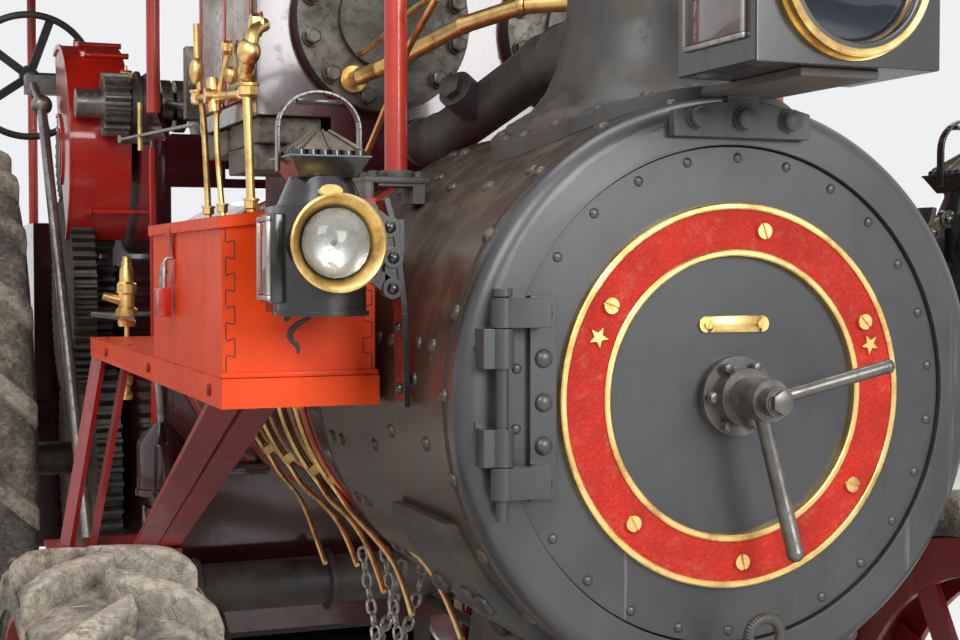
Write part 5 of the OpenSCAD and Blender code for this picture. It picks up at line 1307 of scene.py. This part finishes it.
bmesh.ops.recalc_face_normals(flange, faces=flange.faces)
stand(flange, "perch_flange", greasy_black, "engine", 34, 0.003)
big_bolts = bmesh.new()
for angle in (222, 238, 302, 318):
    for y in (ring_y + 0.075 + (0.06 if angle in (222, 318) else 0.0), ring_y + 0.2, ring_y + 0.32):
        spot, way = on_drum(angle, y, 0.4555)
        dome(big_bolts, spot, way, 0.02, 0.7)
stand(big_bolts, "perch_bolts", greasy_black, "engine")
towing = bmesh.new()
block(towing, (-0.032, ring_y - 0.105, 1.028), (0.032, ring_y + 0.07, 1.046), 0.004)
block(towing, (-0.032, ring_y + 0.03, 1.03), (0.032, ring_y + 0.07, 1.07), 0.004)
pin_y = ring_y - 0.078
rod(towing, (0, pin_y, 0.99), (0, pin_y, 1.142), 0.0125, 24)
turned(towing, [(0.0, 0.0), (0.02, 0.0), (0.022, 0.006), (0.016, 0.012), (0.0, 0.014)],
       (0, pin_y, 1.046), upward, 32)
bmesh.ops.create_cone(towing, cap_ends=True, segments=20, radius1=0.004, radius2=0.004, depth=0.034,
                      matrix=aim((0, pin_y, 1.0), (1, 0, 0)))
links = 40
eye = [(0.026 * math.sin(math.tau * step / links), pin_y, 1.166 - 0.026 * math.cos(math.tau * step / links))
       for step in range(links + 1)]
for a, b in zip(eye, eye[1:]):
    rod(towing, a, b, 0.0082, 16)
stand(towing, "towing_pin", greasy_black, "engine", 40)


# Chains: two pale safety chains hang in loops under the barrel, beside the oil pipes.
# Each link is a bent and welded steel bar, galvanised and dusty.
def chain(solid, a, b, length, wide, wire, sag=0.0):
    """Oval links, each turned a quarter from the last, along a hanging line."""
    a, b = Vector(a), Vector(b)
    count = max(2, round((b - a).length / (length - wire * 2.2)))
    for step in range(count):
        t = (step + 0.5) / count
        place = a.lerp(b, t) - Vector((0, 0, sag * 4 * t * (1 - t)))
        way = (b - a) - Vector((0, 0, sag * 4 * (1 - 2 * t)))
        turn = aim(place, way) @ Matrix.Rotation(math.radians(45 + 90 * (step % 2)), 4, "Z")
        path = []
        for index in range(20):
            angle = math.tau * index / 20
            bow = math.sin(angle) * (wide / 2 - wire) + math.copysign((length - wide) / 2, math.sin(angle))
            path.append(turn @ Vector((math.cos(angle) * (wide / 2 - wire), 0, bow)))
        for near, far in zip(path, path[1:] + path[:1]):
            rod(solid, near, far, wire, 8)


pale = bmesh.new()
for x, y in ((-0.25, -1.258), (-0.21, -1.278)):
    chain(pale, (x, y, 1.12), (x + 0.01, y - 0.065, 0.946), 0.034, 0.024, 0.0035)
    chain(pale, (x + 0.01, y - 0.065, 0.946), (x + 0.08, y - 0.02, 1.1), 0.034, 0.024, 0.0035, 0.03)
stand(pale, "pale_safety_chains", tinned, "engine")


# Canopy and tender: the roof is of maroon boards, and the tender is of sheet iron riveted at its seams.
# Dark strips mark the boards' joints, and the rivets run along the tank's foot and middle and up its corners.
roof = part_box("canopy")
seams = bmesh.new()
for step in range(1, 16):
    x = -0.93 + step * 1.86 / 16
    block(seams, (x - 0.0015, roof[0].y + 0.03, roof[0].z + 0.055),
          (x + 0.0015, roof[1].y - 0.03, roof[0].z + 0.058))
stand(seams, "roof_seams", dark_groove, "engine")
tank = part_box("tender")
sheet_rivets = bmesh.new()
seam_heights = (0.68, 1.14)
for out in (-1, 1):
    for step in range(24):
        for z in seam_heights:
            dome(sheet_rivets, (out * tank[1].x, tank[0].y + 0.96 + step * 0.0305, z), (out, 0, 0), 0.007)
    for step in range(18):
        z = 0.69 + step * 0.064
        dome(sheet_rivets, (out * tank[1].x, tank[1].y - 0.03, z), (out, 0, 0), 0.007)
        dome(sheet_rivets, (out * (tank[1].x - 0.03), tank[1].y, z), backward, 0.007)
for step in range(30):
    for z in seam_heights:
        dome(sheet_rivets, (-0.56 + step * 1.12 / 29, tank[1].y, z), backward, 0.007)
stand(sheet_rivets, "tender_rivets", maroon, "engine")


# Stand: a plain pale floor and soft studio lamps, with the camera low in front of the engine's right side.
floor_finish, floor_coat = new_finish("pale floor")
settle(floor_finish, floor_coat, (0.78, 0.77, 0.75), 0.9)
floor_shape = bmesh.new()
bmesh.ops.create_grid(floor_shape, x_segments=1, y_segments=1, size=40)
floor_mesh = bpy.data.meshes.new("floor")
floor_shape.to_mesh(floor_mesh)
floor_shape.free()
floor_mesh.materials.append(floor_finish)
floor = bpy.data.objects.new("floor", floor_mesh)
bpy.context.scene.collection.objects.link(floor)
sky = bpy.data.worlds.new("studio air")
sky.use_nodes = True
sky.node_tree.nodes.clear()
air = Coat(sky.node_tree)
seen = air.node("LightPath")
seen = seen.maths("MAXIMUM", seen, air.node("LightPath", None, None, 3))
seen = seen.maths("MAXIMUM", seen, air.node("LightPath", None, None, 6))
glow = air.node("Background", None, {0: (1, 1, 1, 1), 1: 0.25})
backdrop = air.node("Background", None, {0: (0.86, 0.87, 0.88, 1), 1: 1.0})
air.node("OutputWorld", None, {0: air.node("MixShader", None, {0: seen, 1: glow, 2: backdrop})})
bpy.context.scene.world = sky
for name, place, target, size, power in (
        ("key lamp", (-4.5, -7.5, 6.5), (0, -1.5, 1.5), 3.5, 400),
        ("fill lamp", (1.7, -8.0, 3.7), (0, -1.5, 1.6), 2.6, 300),
        ("top lamp", (0, 0, 9.0), (0, 0, 0), 6.0, 620),
        ("back lamp", (3.0, 8.0, 5.0), (0, 1, 1.5), 4.0, 320)):
    light = bpy.data.lights.new(name, "AREA")
    light.size = size
    light.energy = power
    lamp = bpy.data.objects.new(name, light)
    bpy.context.scene.collection.objects.link(lamp)
    lamp.location = place
    lamp.rotation_euler = (Vector(target) - Vector(place)).to_track_quat("-Z", "Y").to_euler()
lens = bpy.data.cameras.new("camera")
lens.lens = 57.75
lens.sensor_width = 36
camera = bpy.data.objects.new("camera", lens)
camera.location = (-1.165, ring_y - 1.935, 1.688)
camera.rotation_euler = (math.radians(88.0), 0, math.radians(-21.55))
bpy.context.scene.collection.objects.link(camera)
bpy.context.scene.camera = camera
bpy.context.scene.view_settings.view_transform = "Standard"
